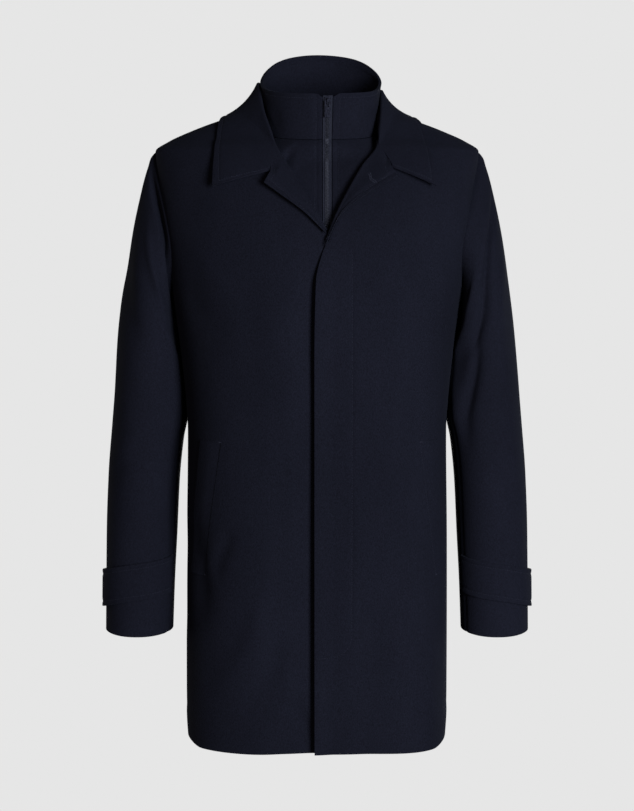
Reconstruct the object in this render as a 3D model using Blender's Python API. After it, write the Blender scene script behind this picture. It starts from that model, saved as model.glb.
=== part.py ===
"""A men's wool car coat with a fly front, a turned collar and a zipped funnel-neck bib, filled out as worn.

Metres, +Z up. The front faces -Y and the wearer's left is +X. The origin lies between the two points where
the shoulder seams meet the neck, which is where the wearer's shoulders carry the coat.
Every cloth piece is a thin wall on a form that is worked out from the tables of sections below.
"""
import math

import bmesh
import bpy
import numpy as np
from mathutils import Matrix, Vector

COLLECTION_NAME = "wool_coat"
CLOTH = 0.0022
COLLAR_CLOTH = 0.0024
BIB_CLOTH = 0.0018
FUNNEL_CLOTH = 0.0040
SEAM_GAP = 0.0003
SHARP_FROM = math.radians(40)

HEM_LEVEL = -0.873
HEM_RISE_AT_SIDES = 0.005
HEM_RISE_FROM_SHARE = 0.88
HEM_RISE_FADES_AT = -0.65
ARMPIT_LEVEL = -0.270
SHOULDER_POINT_LEVEL = -0.063
NECK_POINT_LEVEL = 0.0
FRONT_NECK_TOP_LEVEL = -0.006
BACK_NECK_DROP = 0.025

OVERLAP_STEP = 0.0014
OVERLAP_ENDS_AT_X = 0.045
OVERLAP_FADE = 0.030

ARMHOLE_FRONT_DEPTH = 0.052
ARMHOLE_BACK_DEPTH = 0.062
ARMHOLE_ROUNDNESS = 2.0
ARMHOLE_REACH = 0.68

SLEEVE_ROUNDNESS = 2.2
SLEEVE_HEAD_SHARE = 0.25
FRONT_SLEEVE_SEAM = math.radians(150)
BACK_SLEEVE_SEAM = math.radians(-108)
CUFF_DROP = 0.004
CUFF_DROP_FROM = 0.80
SLEEVE_RADIUS = 0.055

LAPEL_BEND = 0.0032
LAPEL_BEND_SHARE = 0.22
LAPEL_GAP = 0.0006
COLLAR_BEND = 0.0030
COLLAR_STAND_TO = 0.20
COLLAR_FALL_FROM = 0.50
COLLAR_SEAM_GAP = 0.0014
COLLAR_CLEARANCE = 0.0014
CLEARING_PASSES = 3
GORGE_GAP_SHARE = 0.012
COLLAR_END_TURN = 0.0008
COLLAR_END_SWING = math.radians(70)
COLLAR_CORNER_FROM = 0.70
COLLAR_STAND_FADES_FROM = 0.60

FUNNEL_CENTRE_X = 0.0005
FUNNEL_BASE_HALF_WIDTH = {"left": 0.0795, "right": 0.0745}
FUNNEL_TOP_HALF_WIDTH = {"left": 0.0866, "right": 0.0790}
FUNNEL_FRONT_DEPTH = 0.0700
FUNNEL_BASE_BACK_DEPTH = 0.0520
FUNNEL_TOP_BACK_DEPTH = 0.0660

ZIP_X = 0.0134
ZIP_HALF_GAP = 0.0065
TAPE_WIDTH = 0.0058
TAPE_CLOTH = 0.0012
TAPE_SINK = 0.0006
BIB_SEAM_GAP = 0.0009
BIB_BOTTOM_LEVEL = -0.33
BIB_BOTTOM_HALF_WIDTH = 0.118
BIB_SIDE_TURN = math.radians(-18)
BIB_INSET_AT_ZIP = 0.010
BIB_INSET_AT_SIDE = 0.0040
BIB_TUCKS_IN_WITHIN = 0.11
ZIP_FUNNEL_FROM = 0.80
ZIP_TOP_SHARE = 0.96

SLIDER_AT = 0.86
SLIDER_OUT = 0.0011
SLIDER_SIZE = (0.0085, 0.0018, 0.0130)
SLIDER_CORNER = 0.0025
BAIL_HEIGHT = 0.0036
BAIL_SUNK = 0.0006
BAIL_HALF_LENGTH = 0.0042
BAIL_BAR = 0.0012
BAIL_HALF_WIDTH = 0.0009
BAIL_CORNER = 0.0008
BAIL_WINDOW_FOOT = 0.0002
BAIL_WINDOW_CORNER = 0.0005
TAB_HALF_WIDTH = 0.0042
TAB_THICKNESS = 0.0012
TAB_LENGTH = 0.0215
TAB_BAR = 0.0007
TAB_EYE_LENGTH = 0.0075
TAB_EYE_HALF_WIDTH = 0.0018
TAB_CORNER = 0.0007
TAB_EYE_CORNER = 0.0006

POCKET_GAP = 0.0004
WELT_CLOTH = 0.0014
STRAP_HALF_WIDTH = 0.0255
STRAP_ABOVE_SHARE = 0.5
STRAP_HALVINGS = 24
STRAP_CLOTH = 0.0030
BUTTON_RADIUS = 0.0105
BUTTON_THICKNESS = 0.0036
BUTTON_RIM = 0.0011
BUTTON_SIDES = 20
BUTTON_COLUMN = 15
BUTTON_SEAT_GAP = 0.0003

NAVY_WOOL = (0.010, 0.011, 0.022)
ZIP_GREY = (0.045, 0.043, 0.060)
BUTTON_NAVY = (0.008, 0.008, 0.014)


class Table:
    """Rows of named columns, read between rows by a smooth curve that never overshoots them."""

    def __init__(self, columns, rows):
        names = columns.split()
        values = np.array(rows, dtype=float)
        self.at_row = values[:, 0]
        self.column = {name: values[:, index] for index, name in enumerate(names)}
        self.slope = {name: self.slopes(values[:, index]) for index, name in enumerate(names)}

    def slopes(self, heights):
        """The slope at each row, zero where the column turns back."""
        widths = np.diff(self.at_row)
        rises = np.diff(heights) / widths
        slope = np.zeros(len(heights))
        slope[0] = rises[0]
        slope[-1] = rises[-1]
        for row in range(1, len(heights) - 1):
            before = rises[row - 1]
            after = rises[row]
            if before * after > 0:
                near = 2 * widths[row] + widths[row - 1]
                far = widths[row] + 2 * widths[row - 1]
                slope[row] = (near + far) / (near / before + far / after)
        return slope

    def read(self, name, at):
        """The value of one column at any place along the first column, straight on past either end."""
        heights = self.column[name]
        slope = self.slope[name]
        if at <= self.at_row[0]:
            return heights[0] + slope[0] * (at - self.at_row[0])
        if at >= self.at_row[-1]:
            return heights[-1] + slope[-1] * (at - self.at_row[-1])
        row = int(np.searchsorted(self.at_row, at)) - 1
        width = self.at_row[row + 1] - self.at_row[row]
        share = (at - self.at_row[row]) / width
        ease = share * share * (3 - 2 * share)
        leave = share * (1 - share) * (1 - share)
        arrive = share * share * (share - 1)
        return (heights[row] * (1 - ease) + heights[row + 1] * ease
                + width * (leave * slope[row] + arrive * slope[row + 1]))


TORSO = Table("level half_width front_depth back_depth squareness", (
    (-0.873, 0.1785, 0.148, 0.138, 4.40),
    (-0.850, 0.1800, 0.148, 0.138, 4.20),
    (-0.810, 0.1808, 0.148, 0.137, 4.00),
    (-0.600, 0.181, 0.146, 0.134, 3.10),
    (-0.450, 0.180, 0.143, 0.130, 2.60),
    (-0.400, 0.183, 0.142, 0.128, 2.50),
    (-0.335, 0.190, 0.141, 0.128, 2.45),
    (-0.270, 0.199, 0.138, 0.128, 2.40),
    (-0.214, 0.208, 0.132, 0.122, 2.40),
    (-0.160, 0.217, 0.120, 0.110, 2.40),
    (-0.100, 0.222, 0.095, 0.092, 2.25),
    (-0.063, 0.224, 0.072, 0.078, 2.10),
    (-0.050, 0.206, 0.060, 0.071, 2.05),
    (-0.0360, 0.175, 0.050, 0.063, 2.05),
    (-0.0275, 0.153, 0.044, 0.058, 2.05),
    (-0.0195, 0.130, 0.037, 0.052, 2.10),
    (-0.0100, 0.106, 0.028, 0.043, 2.15),
    (-0.0040, 0.093, 0.020, 0.034, 2.20),
    (0.0000, 0.0865, 0.010, 0.012, 2.20),
))

SKIRT_FOLDS = Table("turn depth", (
    (-360.0, 0.0),
    (-165.0, 0.0010),
    (-140.0, -0.0045),
    (-118.0, 0.0035),
    (-100.0, -0.0015),
    (-80.0, 0.0000),
    (-66.0, -0.0020),
    (-48.0, 0.0020),
    (-30.0, -0.0015),
    (0.0, 0.0015),
    (35.0, -0.0035),
    (60.0, 0.0030),
    (88.0, -0.0030),
    (118.0, 0.0035),
    (150.0, -0.0030),
    (180.0, 0.0015),
    (195.0, 0.0010),
    (360.0, 0.0),
))
SKIRT_FOLDS_START = -0.45
SKIRT_FOLDS_FULL = -0.78

SLEEVE = Table("share outer_x outer_z inner_x inner_z front_depth back_depth centre_y", (
    (0.00, 0.2245, -0.0635, 0.1998, -0.2695, 0.052, 0.062, 0.000),
    (0.06, 0.2362, -0.0910, 0.2008, -0.2800, 0.058, 0.066, 0.001),
    (0.13, 0.2470, -0.1330, 0.2000, -0.2920, 0.064, 0.070, 0.002),
    (0.20, 0.2558, -0.1750, 0.1975, -0.3060, 0.068, 0.073, 0.004),
    (0.28, 0.2645, -0.2310, 0.1925, -0.3280, 0.070, 0.075, 0.006),
    (0.38, 0.2740, -0.3000, 0.1880, -0.3620, 0.069, 0.073, 0.008),
    (0.48, 0.2810, -0.3700, 0.1838, -0.4050, 0.066, 0.068, 0.009),
    (0.53, 0.2840, -0.4050, 0.1824, -0.4300, 0.064, 0.065, 0.009),
    (0.58, 0.2870, -0.4400, 0.1868, -0.4580, 0.062, 0.063, 0.008),
    (0.68, 0.2925, -0.5100, 0.1930, -0.5180, 0.058, 0.058, 0.004),
    (0.80, 0.2952, -0.5900, 0.1965, -0.5940, 0.055, 0.055, -0.003),
    (0.90, 0.2957, -0.6600, 0.1998, -0.6610, 0.053, 0.053, -0.010),
    (1.00, 0.2960, -0.7270, 0.2020, -0.7270, 0.051, 0.051, -0.017),
))

STRAP = Table("share turn centre_z lift", (
    (0.00, 154.0, -0.6470, 0.0006),
    (0.30, 84.0, -0.6560, 0.0010),
    (0.60, 14.0, -0.6690, 0.0024),
    (0.75, -20.0, -0.6730, 0.0024),
    (1.00, -78.0, -0.6750, 0.0008),
))

FRONT_EDGE = {
    "left": Table("level x", (
        (-0.8730, -0.0030),
        (-0.3500, -0.0034),
        (-0.2400, -0.0013),
        (-0.2050, 0.0060),
        (-0.1850, 0.0125),
        (-0.1550, 0.0215),
        (-0.1231, 0.0352),
        (-0.0867, 0.0562),
        (-0.0580, 0.0769),
        (-0.0350, 0.0835),
        (-0.0150, 0.0855),
        (-0.0060, 0.0860),
    )),
    "right": Table("level x", (
        (-0.8730, -0.0450),
        (-0.2600, -0.0450),
        (-0.2000, -0.0300),
        (-0.1740, -0.0125),
        (-0.1390, 0.0085),
        (-0.1055, 0.0290),
        (-0.0717, 0.0500),
        (-0.0500, 0.0650),
        (-0.0350, 0.0755),
        (-0.0150, 0.0840),
        (-0.0060, 0.0860),
    )),
}

LAPEL = {
    "left": Table("share roll_level edge_x edge_level", (
        (0.00, -0.1850, 0.0095, -0.1960),
        (0.33, -0.1440, 0.0300, -0.1560),
        (0.66, -0.0975, 0.0650, -0.1265),
        (1.00, -0.0580, 0.1071, -0.1007),
    )),
    "right": Table("share roll_level edge_x edge_level", (
        (0.00, -0.1740, -0.0085, -0.1785),
        (0.33, -0.1390, 0.0165, -0.1510),
        (0.66, -0.1055, 0.0430, -0.1300),
        (1.00, -0.0717, 0.0699, -0.1090),
    )),
}

COLLAR = {
    "left": Table("share roll_x roll_y roll_z edge_x edge_y edge_z sag", (
        (0.00, 0.0000, 0.0715, 0.0200, 0.0000, 0.0860, -0.0560, 0.000),
        (0.25, 0.0540, 0.0580, 0.0210, 0.0820, 0.0680, -0.0480, 0.003),
        (0.50, 0.0915, 0.0060, 0.0200, 0.1345, 0.0020, -0.0165, 0.009),
        (0.75, 0.0890, -0.0420, -0.0200, 0.1490, -0.0480, -0.0640, 0.004),
        (1.00, 0.0769, -0.0690, -0.0580, 0.1573, -0.0800, -0.1117, 0.000),
    )),
    "right": Table("share roll_x roll_y roll_z edge_x edge_y edge_z sag", (
        (0.00, 0.0000, 0.0715, 0.0200, 0.0000, 0.0860, -0.0560, 0.000),
        (0.25, 0.0510, 0.0580, 0.0250, 0.0820, 0.0680, -0.0480, 0.003),
        (0.50, 0.0835, 0.0060, 0.0300, 0.1345, 0.0020, -0.0165, 0.009),
        (0.75, 0.0740, -0.0430, -0.0140, 0.1410, -0.0500, -0.0660, 0.004),
        (1.00, 0.0500, -0.0800, -0.0717, 0.1394, -0.0880, -0.1146, 0.000),
    )),
}
NOTCH = {"left": (0.0979, -0.0879), "right": (0.0640, -0.0965)}
NOTCH_SHARE = 0.36

NECK = Table("front_to_back base_z top_z", (
    (-1.0, -0.0505, 0.0105),
    (-0.6, -0.0425, 0.0160),
    (0.0, -0.0030, 0.0310),
    (0.45, -0.0110, 0.0505),
    (0.75, -0.0160, 0.0650),
    (1.0, -0.0200, 0.0740),
))

POCKET = {
    "left": Table("share front_x level width_turn", (
        (0.0, 0.1370, -0.4545, 12.4),
        (1.0, 0.1610, -0.6385, 11.4),
    )),
    "right": Table("share front_x level width_turn", (
        (0.0, 0.1285, -0.4545, 12.4),
        (1.0, 0.1560, -0.6385, 11.4),
    )),
}


def ease(share):
    """A smooth step from 0 to 1."""
    held = min(max(share, 0.0), 1.0)
    return held * held * (3 - 2 * held)


def mix(start, end, share):
    return start + (end - start) * share


def signed_power(value, power):
    return math.copysign(abs(value) ** power, value)


def skirt_fold(turn, level):
    """How far the soft folds of the skirt stand out from the plain section, fullest at the hem."""
    strength = ease((SKIRT_FOLDS_START - level) / (SKIRT_FOLDS_START - SKIRT_FOLDS_FULL))
    return strength * SKIRT_FOLDS.read("depth", math.degrees(turn))


def torso_point(turn, level):
    """The outside of the body at a turn about +Z from the wearer's left: minus to the front."""
    half_width = TORSO.read("half_width", level)
    depth = TORSO.read("front_depth" if math.sin(turn) < 0 else "back_depth", level)
    squareness = TORSO.read("squareness", level)
    along = abs(math.cos(turn) / half_width) ** squareness
    across = abs(math.sin(turn) / depth) ** squareness
    radius = (along + across) ** (-1 / squareness) + skirt_fold(turn, level)
    side_share = radius * abs(math.cos(turn)) / half_width
    rise = HEM_RISE_AT_SIDES * ease((side_share - HEM_RISE_FROM_SHARE) / (1 - HEM_RISE_FROM_SHARE))
    rise *= max(0.0, (HEM_RISE_FADES_AT - level) / (HEM_RISE_FADES_AT - HEM_LEVEL))
    return Vector((radius * math.cos(turn), radius * math.sin(turn), level + rise))


def torso_normal(turn, level):
    """The direction straight out of the body's surface."""
    step_turn = 0.004
    step_level = 0.0008
    around = torso_point(turn + step_turn, level) - torso_point(turn - step_turn, level)
    upward = torso_point(turn, level + step_level) - torso_point(turn, level - step_level)
    return around.cross(upward).normalized()


def turn_at_front_x(x, level):
    """The turn at which the front of the body reaches a distance from the middle."""
    half_width = TORSO.read("half_width", level)
    squareness = TORSO.read("squareness", level)
    share = min(abs(x) / half_width, 1.0)
    y = -TORSO.read("front_depth", level) * (1 - share ** squareness) ** (1 / squareness)
    return math.atan2(y, x)


def side_turn(side, turn):
    """The same turn on the wearer's right, where the left one is given."""
    return turn if side == "left" else -math.pi - turn


def overlap_step(side, x):
    """The upper front stands out, and the under front lies in, where the two lap over each other."""
    step = OVERLAP_STEP * ease((OVERLAP_ENDS_AT_X + OVERLAP_FADE - x) / OVERLAP_FADE)
    return step if side == "left" else -step


def on_front(side, turn, level, out):
    """A point over a front panel, moved straight out from its outer face. The turn is as on the left side."""
    lift = out + overlap_step(side, torso_point(turn, level).x)
    placed = side_turn(side, turn)
    return torso_point(placed, level) + torso_normal(placed, level) * lift


def armhole_turn(level, depth_name, armhole_depth):
    """The turn from the side seam at which the armhole cuts a panel at one level."""
    middle = (ARMPIT_LEVEL + SHOULDER_POINT_LEVEL) / 2
    half = (SHOULDER_POINT_LEVEL - ARMPIT_LEVEL) / 2
    height_share = abs(level - middle) / half
    if height_share >= 1:
        return 0.0
    y = armhole_depth * (1 - height_share ** ARMHOLE_ROUNDNESS) ** (1 / ARMHOLE_ROUNDNESS)
    squareness = TORSO.read("squareness", level)
    share = y / TORSO.read(depth_name, level)
    x = TORSO.read("half_width", level) * (1 - share ** squareness) ** (1 / squareness)
    return math.atan2(y, x)


FRONT_COLUMNS = 10
BACK_COLUMNS = 10
UPPER_COLUMNS = 14
UNDER_COLUMNS = 6
SLEEVE_ROWS = 17
STRAP_COLUMNS = 16
COLLAR_COLUMNS = 36
COLLAR_ROWS = 10
LAPEL_COLUMNS = 6
LAPEL_ROWS = 7
FUNNEL_COLUMNS = 28
SKIRT_ROWS = 11
ARMHOLE_ROWS = {"left": 10, "right": 12}
SHOULDER_ROWS = 5


def panel_rows(side):
    """Rows of faces up the panels of one side: in the skirt, round the armhole and over the shoulder."""
    return SKIRT_ROWS + ARMHOLE_ROWS[side] + SHOULDER_ROWS


def panel_level(side, row_share, top_level):
    """Levels up a panel: even in the skirt, evenly round the armhole, then up to its top edge."""
    row = row_share * panel_rows(side)
    armhole_top = SKIRT_ROWS + ARMHOLE_ROWS[side]
    if row <= SKIRT_ROWS:
        return mix(HEM_LEVEL, ARMPIT_LEVEL, row / SKIRT_ROWS)
    if row <= armhole_top:
        swing = math.pi * (row - SKIRT_ROWS) / ARMHOLE_ROWS[side]
        return mix(ARMPIT_LEVEL, SHOULDER_POINT_LEVEL, (1 - math.cos(swing)) / 2)
    return mix(SHOULDER_POINT_LEVEL, top_level, (row - armhole_top) / SHOULDER_ROWS)


def seam_turn(level):
    """Half the seam's gap, as a turn at the side."""
    return 0.5 * SEAM_GAP / TORSO.read("half_width", level)


def front_panel(side):
    """Places on one front, from its front edge (0) to its side seam, armhole and shoulder seam (1)."""
    def place(across, up, out=0.0):
        edge_level = panel_level(side, up, FRONT_NECK_TOP_LEVEL)
        level = panel_level(side, up, mix(FRONT_NECK_TOP_LEVEL, NECK_POINT_LEVEL, across))
        inner = turn_at_front_x(FRONT_EDGE[side].read("x", edge_level), edge_level)
        outer = -armhole_turn(level, "front_depth", ARMHOLE_FRONT_DEPTH) - seam_turn(level)
        return on_front(side, mix(inner, outer, across), level, out)
    return place


def back_panel(side):
    """Places on one half of the back, from its side, armhole and shoulder seams (0) to the centre seam (1)."""
    def place(across, up, out=0.0):
        centre_share = math.sin(math.pi / 2 * across)
        level = panel_level(side, up, NECK_POINT_LEVEL - BACK_NECK_DROP * centre_share)
        edge = armhole_turn(level, "back_depth", ARMHOLE_BACK_DEPTH) + seam_turn(level)
        centre = math.pi / 2 - 0.5 * SEAM_GAP / TORSO.read("back_depth", level)
        turn = centre * across + edge * max(0.0, 1 - across / ARMHOLE_REACH)
        placed = turn if side == "left" else math.pi - turn
        return torso_point(placed, level) + torso_normal(placed, level) * out
    return place


def armhole_point(turn):
    """A point of the left armhole on the body, at a turn from the shoulder point (0) towards the front."""
    middle = (ARMPIT_LEVEL + SHOULDER_POINT_LEVEL) / 2
    half = (SHOULDER_POINT_LEVEL - ARMPIT_LEVEL) / 2 - SEAM_GAP
    level = middle + half * signed_power(math.cos(turn), 2 / ARMHOLE_ROUNDNESS)
    to_front = math.sin(turn) > 0
    depth = (ARMHOLE_FRONT_DEPTH if to_front else ARMHOLE_BACK_DEPTH) - SEAM_GAP
    y = depth * abs(math.sin(turn)) ** (2 / ARMHOLE_ROUNDNESS)
    squareness = TORSO.read("squareness", level)
    share = y / TORSO.read("front_depth" if to_front else "back_depth", level)
    x = TORSO.read("half_width", level) * (1 - share ** squareness) ** (1 / squareness)
    return Vector((x + SEAM_GAP, -y if to_front else y, level))


def sleeve_ring_point(share, turn):
    """A point of the plain sleeve tube: its rings swing from the upright armhole to the level cuff."""
    power = 2 / SLEEVE_ROUNDNESS
    swing = signed_power(math.cos(turn), power)
    side = signed_power(math.sin(turn), power)
    outer = Vector((SLEEVE.read("outer_x", share), SLEEVE.read("outer_z", share)))
    inner = Vector((SLEEVE.read("inner_x", share), SLEEVE.read("inner_z", share)))
    spot = (outer + inner) / 2 + (outer - inner) / 2 * swing
    depth = SLEEVE.read("front_depth" if side > 0 else "back_depth", share)
    drop = CUFF_DROP * side * side * ease((share - CUFF_DROP_FROM) / (1 - CUFF_DROP_FROM))
    return Vector((spot.x, SLEEVE.read("centre_y", share) - depth * side, spot.y - drop))


def sleeve_point(share, turn):
    """The outside of the left sleeve, led into the armhole over the sleeve head."""
    fade = 1 - share / SLEEVE_HEAD_SHARE
    point = sleeve_ring_point(share, turn)
    if fade > 0:
        point += (armhole_point(turn) - sleeve_ring_point(0.0, turn)) * fade
    return point


def sleeve_normal(share, turn):
    """The direction straight out of the sleeve."""
    step = 0.01
    low = max(share - step, 0.0)
    high = min(share + step, 1.0)
    along = sleeve_point(high, turn) - sleeve_point(low, turn)
    around = sleeve_point(share, turn + step) - sleeve_point(share, turn - step)
    return around.cross(along).normalized()


def on_side(side, point):
    """A point given for the wearer's left, on the side asked for."""
    return point if side == "left" else Vector((-point.x, point.y, point.z))


def sleeve_panel(side, first_turn, last_turn):
    """Places on one sleeve piece, across between its seams and down from the armhole to the cuff."""
    def place(across, down, out=0.0):
        turn = mix(first_turn, last_turn, across)
        return on_side(side, sleeve_point(down, turn) + sleeve_normal(down, turn) * out)
    return place


def lapel_panel(side):
    """Places on one lapel: round the bend at its roll line, then over the front to its edge."""
    table = LAPEL[side]

    def place(across, height):
        up = mix(2 * GORGE_GAP_SHARE, 1 - GORGE_GAP_SHARE, height)
        roll_level = table.read("roll_level", up)
        roll_x = FRONT_EDGE[side].read("x", roll_level)
        share = max(0.0, (across - LAPEL_BEND_SHARE) / (1 - LAPEL_BEND_SHARE))
        x = mix(roll_x, table.read("edge_x", up), share)
        level = mix(roll_level, table.read("edge_level", up), share)
        rise = mix(LAPEL_BEND + LAPEL_GAP, CLOTH + LAPEL_GAP, ease(share))
        if across < LAPEL_BEND_SHARE:
            swing = math.pi / 2 * across / LAPEL_BEND_SHARE
            x = roll_x - math.cos(swing) * LAPEL_BEND
            rise = LAPEL_GAP + math.sin(swing) * LAPEL_BEND
        return on_front(side, turn_at_front_x(x, level), level, rise)
    return place


def clear_of_body(point, clearance):
    """The point, pushed straight out of the body until it stands at least this far from it."""
    for _ in range(CLEARING_PASSES):
        if point.z >= NECK_POINT_LEVEL:
            break
        turn = math.atan2(point.y, point.x)
        normal = torso_normal(turn, point.z)
        distance = (point - torso_point(turn, point.z)).dot(normal)
        if distance >= clearance:
            break
        point = point + normal * (clearance - distance)
    return point


def neck_seam(side, share):
    """The neck edge that the collar is sewn to, from the middle of the back (0) to the front end (1)."""
    if share <= 0.5:
        turn = math.pi / 2 * (1 - share / 0.5)
        return torso_point(turn, NECK_POINT_LEVEL - BACK_NECK_DROP * math.sin(turn))
    level = mix(NECK_POINT_LEVEL, LAPEL[side].read("roll_level", 1.0), (share - 0.5) / 0.5)
    x = FRONT_EDGE[side].read("x", min(level, FRONT_NECK_TOP_LEVEL))
    return torso_point(turn_at_front_x(x, level), level)


def collar_foot(side, share, bend):
    """Where the stand starts, just clear of the neck edge, for a stand that runs up to this bend."""
    step = 0.004
    seam = neck_seam(side, share)
    along = neck_seam(side, share + step) - neck_seam(side, share - step)
    normal = torso_normal(math.atan2(seam.y, seam.x), seam.z)
    beyond = along.cross(normal).normalized()
    upward = (bend - seam).normalized()
    through = upward.cross(along).normalized()
    clear = COLLAR_SEAM_GAP + COLLAR_CLOTH * max(0.0, -through.dot(beyond))
    return seam - normal * CLOTH / 2 + beyond * clear


def collar_fall(side, share, fall):
    """The outside of the turned-down fall, from the roll line (0) to its edge (1)."""
    table = COLLAR[side]
    roll = Vector(table.read("roll_" + axis, share) for axis in "xyz")
    edge = Vector(table.read("edge_" + axis, share) for axis in "xyz")
    sag = table.read("sag", share)
    inward = Vector((-roll.x, -roll.y, 0.0)).normalized()
    control = (roll + edge) / 2 + inward * sag - Vector((0.0, 0.0, sag))
    point = roll * (1 - fall) ** 2 + control * 2 * fall * (1 - fall) + edge * fall ** 2
    corner = ease((share - COLLAR_CORNER_FROM) / (1 - COLLAR_CORNER_FROM))
    if corner > 0:
        notch_x, notch_level = NOTCH[side]
        reach = NOTCH_SHARE if fall < NOTCH_SHARE else 1 - NOTCH_SHARE
        kink = max(0.0, 1 - abs(fall - NOTCH_SHARE) / reach)
        straight = roll.lerp(edge, NOTCH_SHARE)
        point += Vector((notch_x - straight.x, 0.0, notch_level - straight.z)) * kink * corner
    rise = mix(COLLAR_BEND + LAPEL_GAP, COLLAR_CLOTH + COLLAR_CLEARANCE, ease(fall))
    return clear_of_body(point, rise)


def collar_panel(along, up):
    """Places on the collar from its right end (0) to its left (1), up the stand and down the fall."""
    side = "right" if along < 0.5 else "left"
    share = (1 - GORGE_GAP_SHARE) * min(abs(along - 0.5) / 0.5, 1.0)
    front = ease((share - COLLAR_STAND_FADES_FROM) / (1 - COLLAR_STAND_FADES_FROM))
    if up >= COLLAR_FALL_FROM:
        return on_side(side, collar_fall(side, share, (up - COLLAR_FALL_FROM) / (1 - COLLAR_FALL_FROM)))
    step = 0.004
    fall_step = 0.08
    top = collar_fall(side, share, 0.0)
    down = (collar_fall(side, share, fall_step) - top).normalized()
    last = min(share + step, 1.0)
    first = max(share - step, 0.0)
    along_roll = collar_fall(side, last, 0.0) - collar_fall(side, first, 0.0)
    outward = along_roll.cross(down).normalized()
    swing_end = mix(math.pi, COLLAR_END_SWING, front)
    share_of_bend = 1 - max(up - COLLAR_STAND_TO, 0.0) / (COLLAR_FALL_FROM - COLLAR_STAND_TO)
    swing = swing_end * share_of_bend
    point = top - down * math.sin(swing) * COLLAR_BEND - outward * (1 - math.cos(swing)) * COLLAR_BEND
    if up < COLLAR_STAND_TO:
        foot = collar_foot(side, share, point)
        short_foot = point - outward * COLLAR_END_TURN
        point = foot.lerp(short_foot, front).lerp(point, up / COLLAR_STAND_TO)
    return on_side(side, point)


def funnel_ring(turn, height_share):
    """The outside of the funnel neck at a turn round it, from its seam (0) to its top edge (1)."""
    to_back = math.sin(turn)
    side = "left" if math.cos(turn) > 0 else "right"
    half_width = mix(FUNNEL_BASE_HALF_WIDTH[side], FUNNEL_TOP_HALF_WIDTH[side], height_share)
    back_depth = mix(FUNNEL_BASE_BACK_DEPTH, FUNNEL_TOP_BACK_DEPTH, height_share)
    depth = FUNNEL_FRONT_DEPTH if to_back < 0 else back_depth
    level = mix(NECK.read("base_z", to_back), NECK.read("top_z", to_back), height_share)
    return Vector((FUNNEL_CENTRE_X + half_width * math.cos(turn), depth * to_back, level))


def zip_turn(offset):
    """The turn on the funnel's seam that lies this far beside the zip, towards the wearer's left."""
    return -math.acos((ZIP_X + offset - FUNNEL_CENTRE_X) / FUNNEL_BASE_HALF_WIDTH["left"])


def funnel_panel(around, up):
    """Places on the funnel from the zip round by the wearer's left, the back and the right to the zip."""
    first = zip_turn(ZIP_HALF_GAP)
    last = zip_turn(-ZIP_HALF_GAP) + 2 * math.pi
    return funnel_ring(mix(first, last, around), up)


def bib_line(top, bottom_x, inset_low, down):
    """A line down the bib from a point of the neck seam to its hem, tucked in behind the coat's fronts."""
    x = mix(top.x, bottom_x, down)
    level = mix(top.z, BIB_BOTTOM_LEVEL, down)
    top_inset = top.y - torso_point(turn_at_front_x(top.x, top.z), top.z).y
    inset = mix(top_inset, inset_low, ease(down / BIB_TUCKS_IN_WITHIN))
    return Vector((x, torso_point(turn_at_front_x(x, level), level).y + inset, level))


def bib_panel(side):
    """Places on one half of the bib, from the zip (0) to its side (1) and from its hem up to the funnel."""
    sign = 1 if side == "left" else -1

    def place(across, up):
        first = zip_turn(sign * ZIP_HALF_GAP)
        last = BIB_SIDE_TURN if side == "left" else -math.pi - BIB_SIDE_TURN
        top = funnel_ring(mix(first, last, across), 0.0) - Vector((0.0, 0.0, BIB_SEAM_GAP))
        bottom_x = mix(ZIP_X + sign * ZIP_HALF_GAP, sign * BIB_BOTTOM_HALF_WIDTH, across)
        inset = mix(BIB_INSET_AT_ZIP, BIB_INSET_AT_SIDE, across)
        return bib_line(top, bottom_x, inset, 1 - up)
    return place


def zip_line(x, up):
    """The line of the zip's face at one x, from the bib's hem (0) to the funnel's top (1)."""
    turn = zip_turn(x - ZIP_X)
    if up > ZIP_FUNNEL_FROM:
        return funnel_ring(turn, (up - ZIP_FUNNEL_FROM) / (1 - ZIP_FUNNEL_FROM) * ZIP_TOP_SHARE)
    return bib_line(funnel_ring(turn, 0.0), x, BIB_INSET_AT_ZIP, 1 - up / ZIP_FUNNEL_FROM)


def zip_tape(side):
    """Places on one tape of the zip, from the teeth (0) to the bib's edge (1)."""
    sign = 1 if side == "left" else -1

    def place(across, up):
        x = ZIP_X + sign * mix(SEAM_GAP, TAPE_WIDTH, across)
        return zip_line(x, up) + Vector((0.0, TAPE_SINK, 0.0))
    return place


def strap_panel(side):
    """Places on one cuff strap, round from the sleeve's front seam, and from lower to upper edge."""
    def place(around, up):
        turn = math.radians(STRAP.read("turn", around))
        level = STRAP.read("centre_z", around) + mix(-STRAP_HALF_WIDTH, STRAP_HALF_WIDTH, up)
        low = STRAP_ABOVE_SHARE
        high = 1.0
        for _ in range(STRAP_HALVINGS):
            middle = (low + high) / 2
            if sleeve_point(middle, turn).z > level:
                low = middle
            else:
                high = middle
        out = STRAP.read("lift", around) + STRAP_CLOTH
        return on_side(side, sleeve_point(low, turn) + sleeve_normal(low, turn) * out)
    return place


def pocket_welt(side):
    """Places on one pocket welt, from its front seam (0) to its opening edge (1) and from foot to top."""
    table = POCKET[side]

    def place(across, up):
        level = table.read("level", 1 - up)
        front = turn_at_front_x(table.read("front_x", 1 - up), level)
        turn = front + math.radians(table.read("width_turn", 1 - up)) * across
        return on_front(side, turn, level, WELT_CLOTH + POCKET_GAP)
    return place


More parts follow.
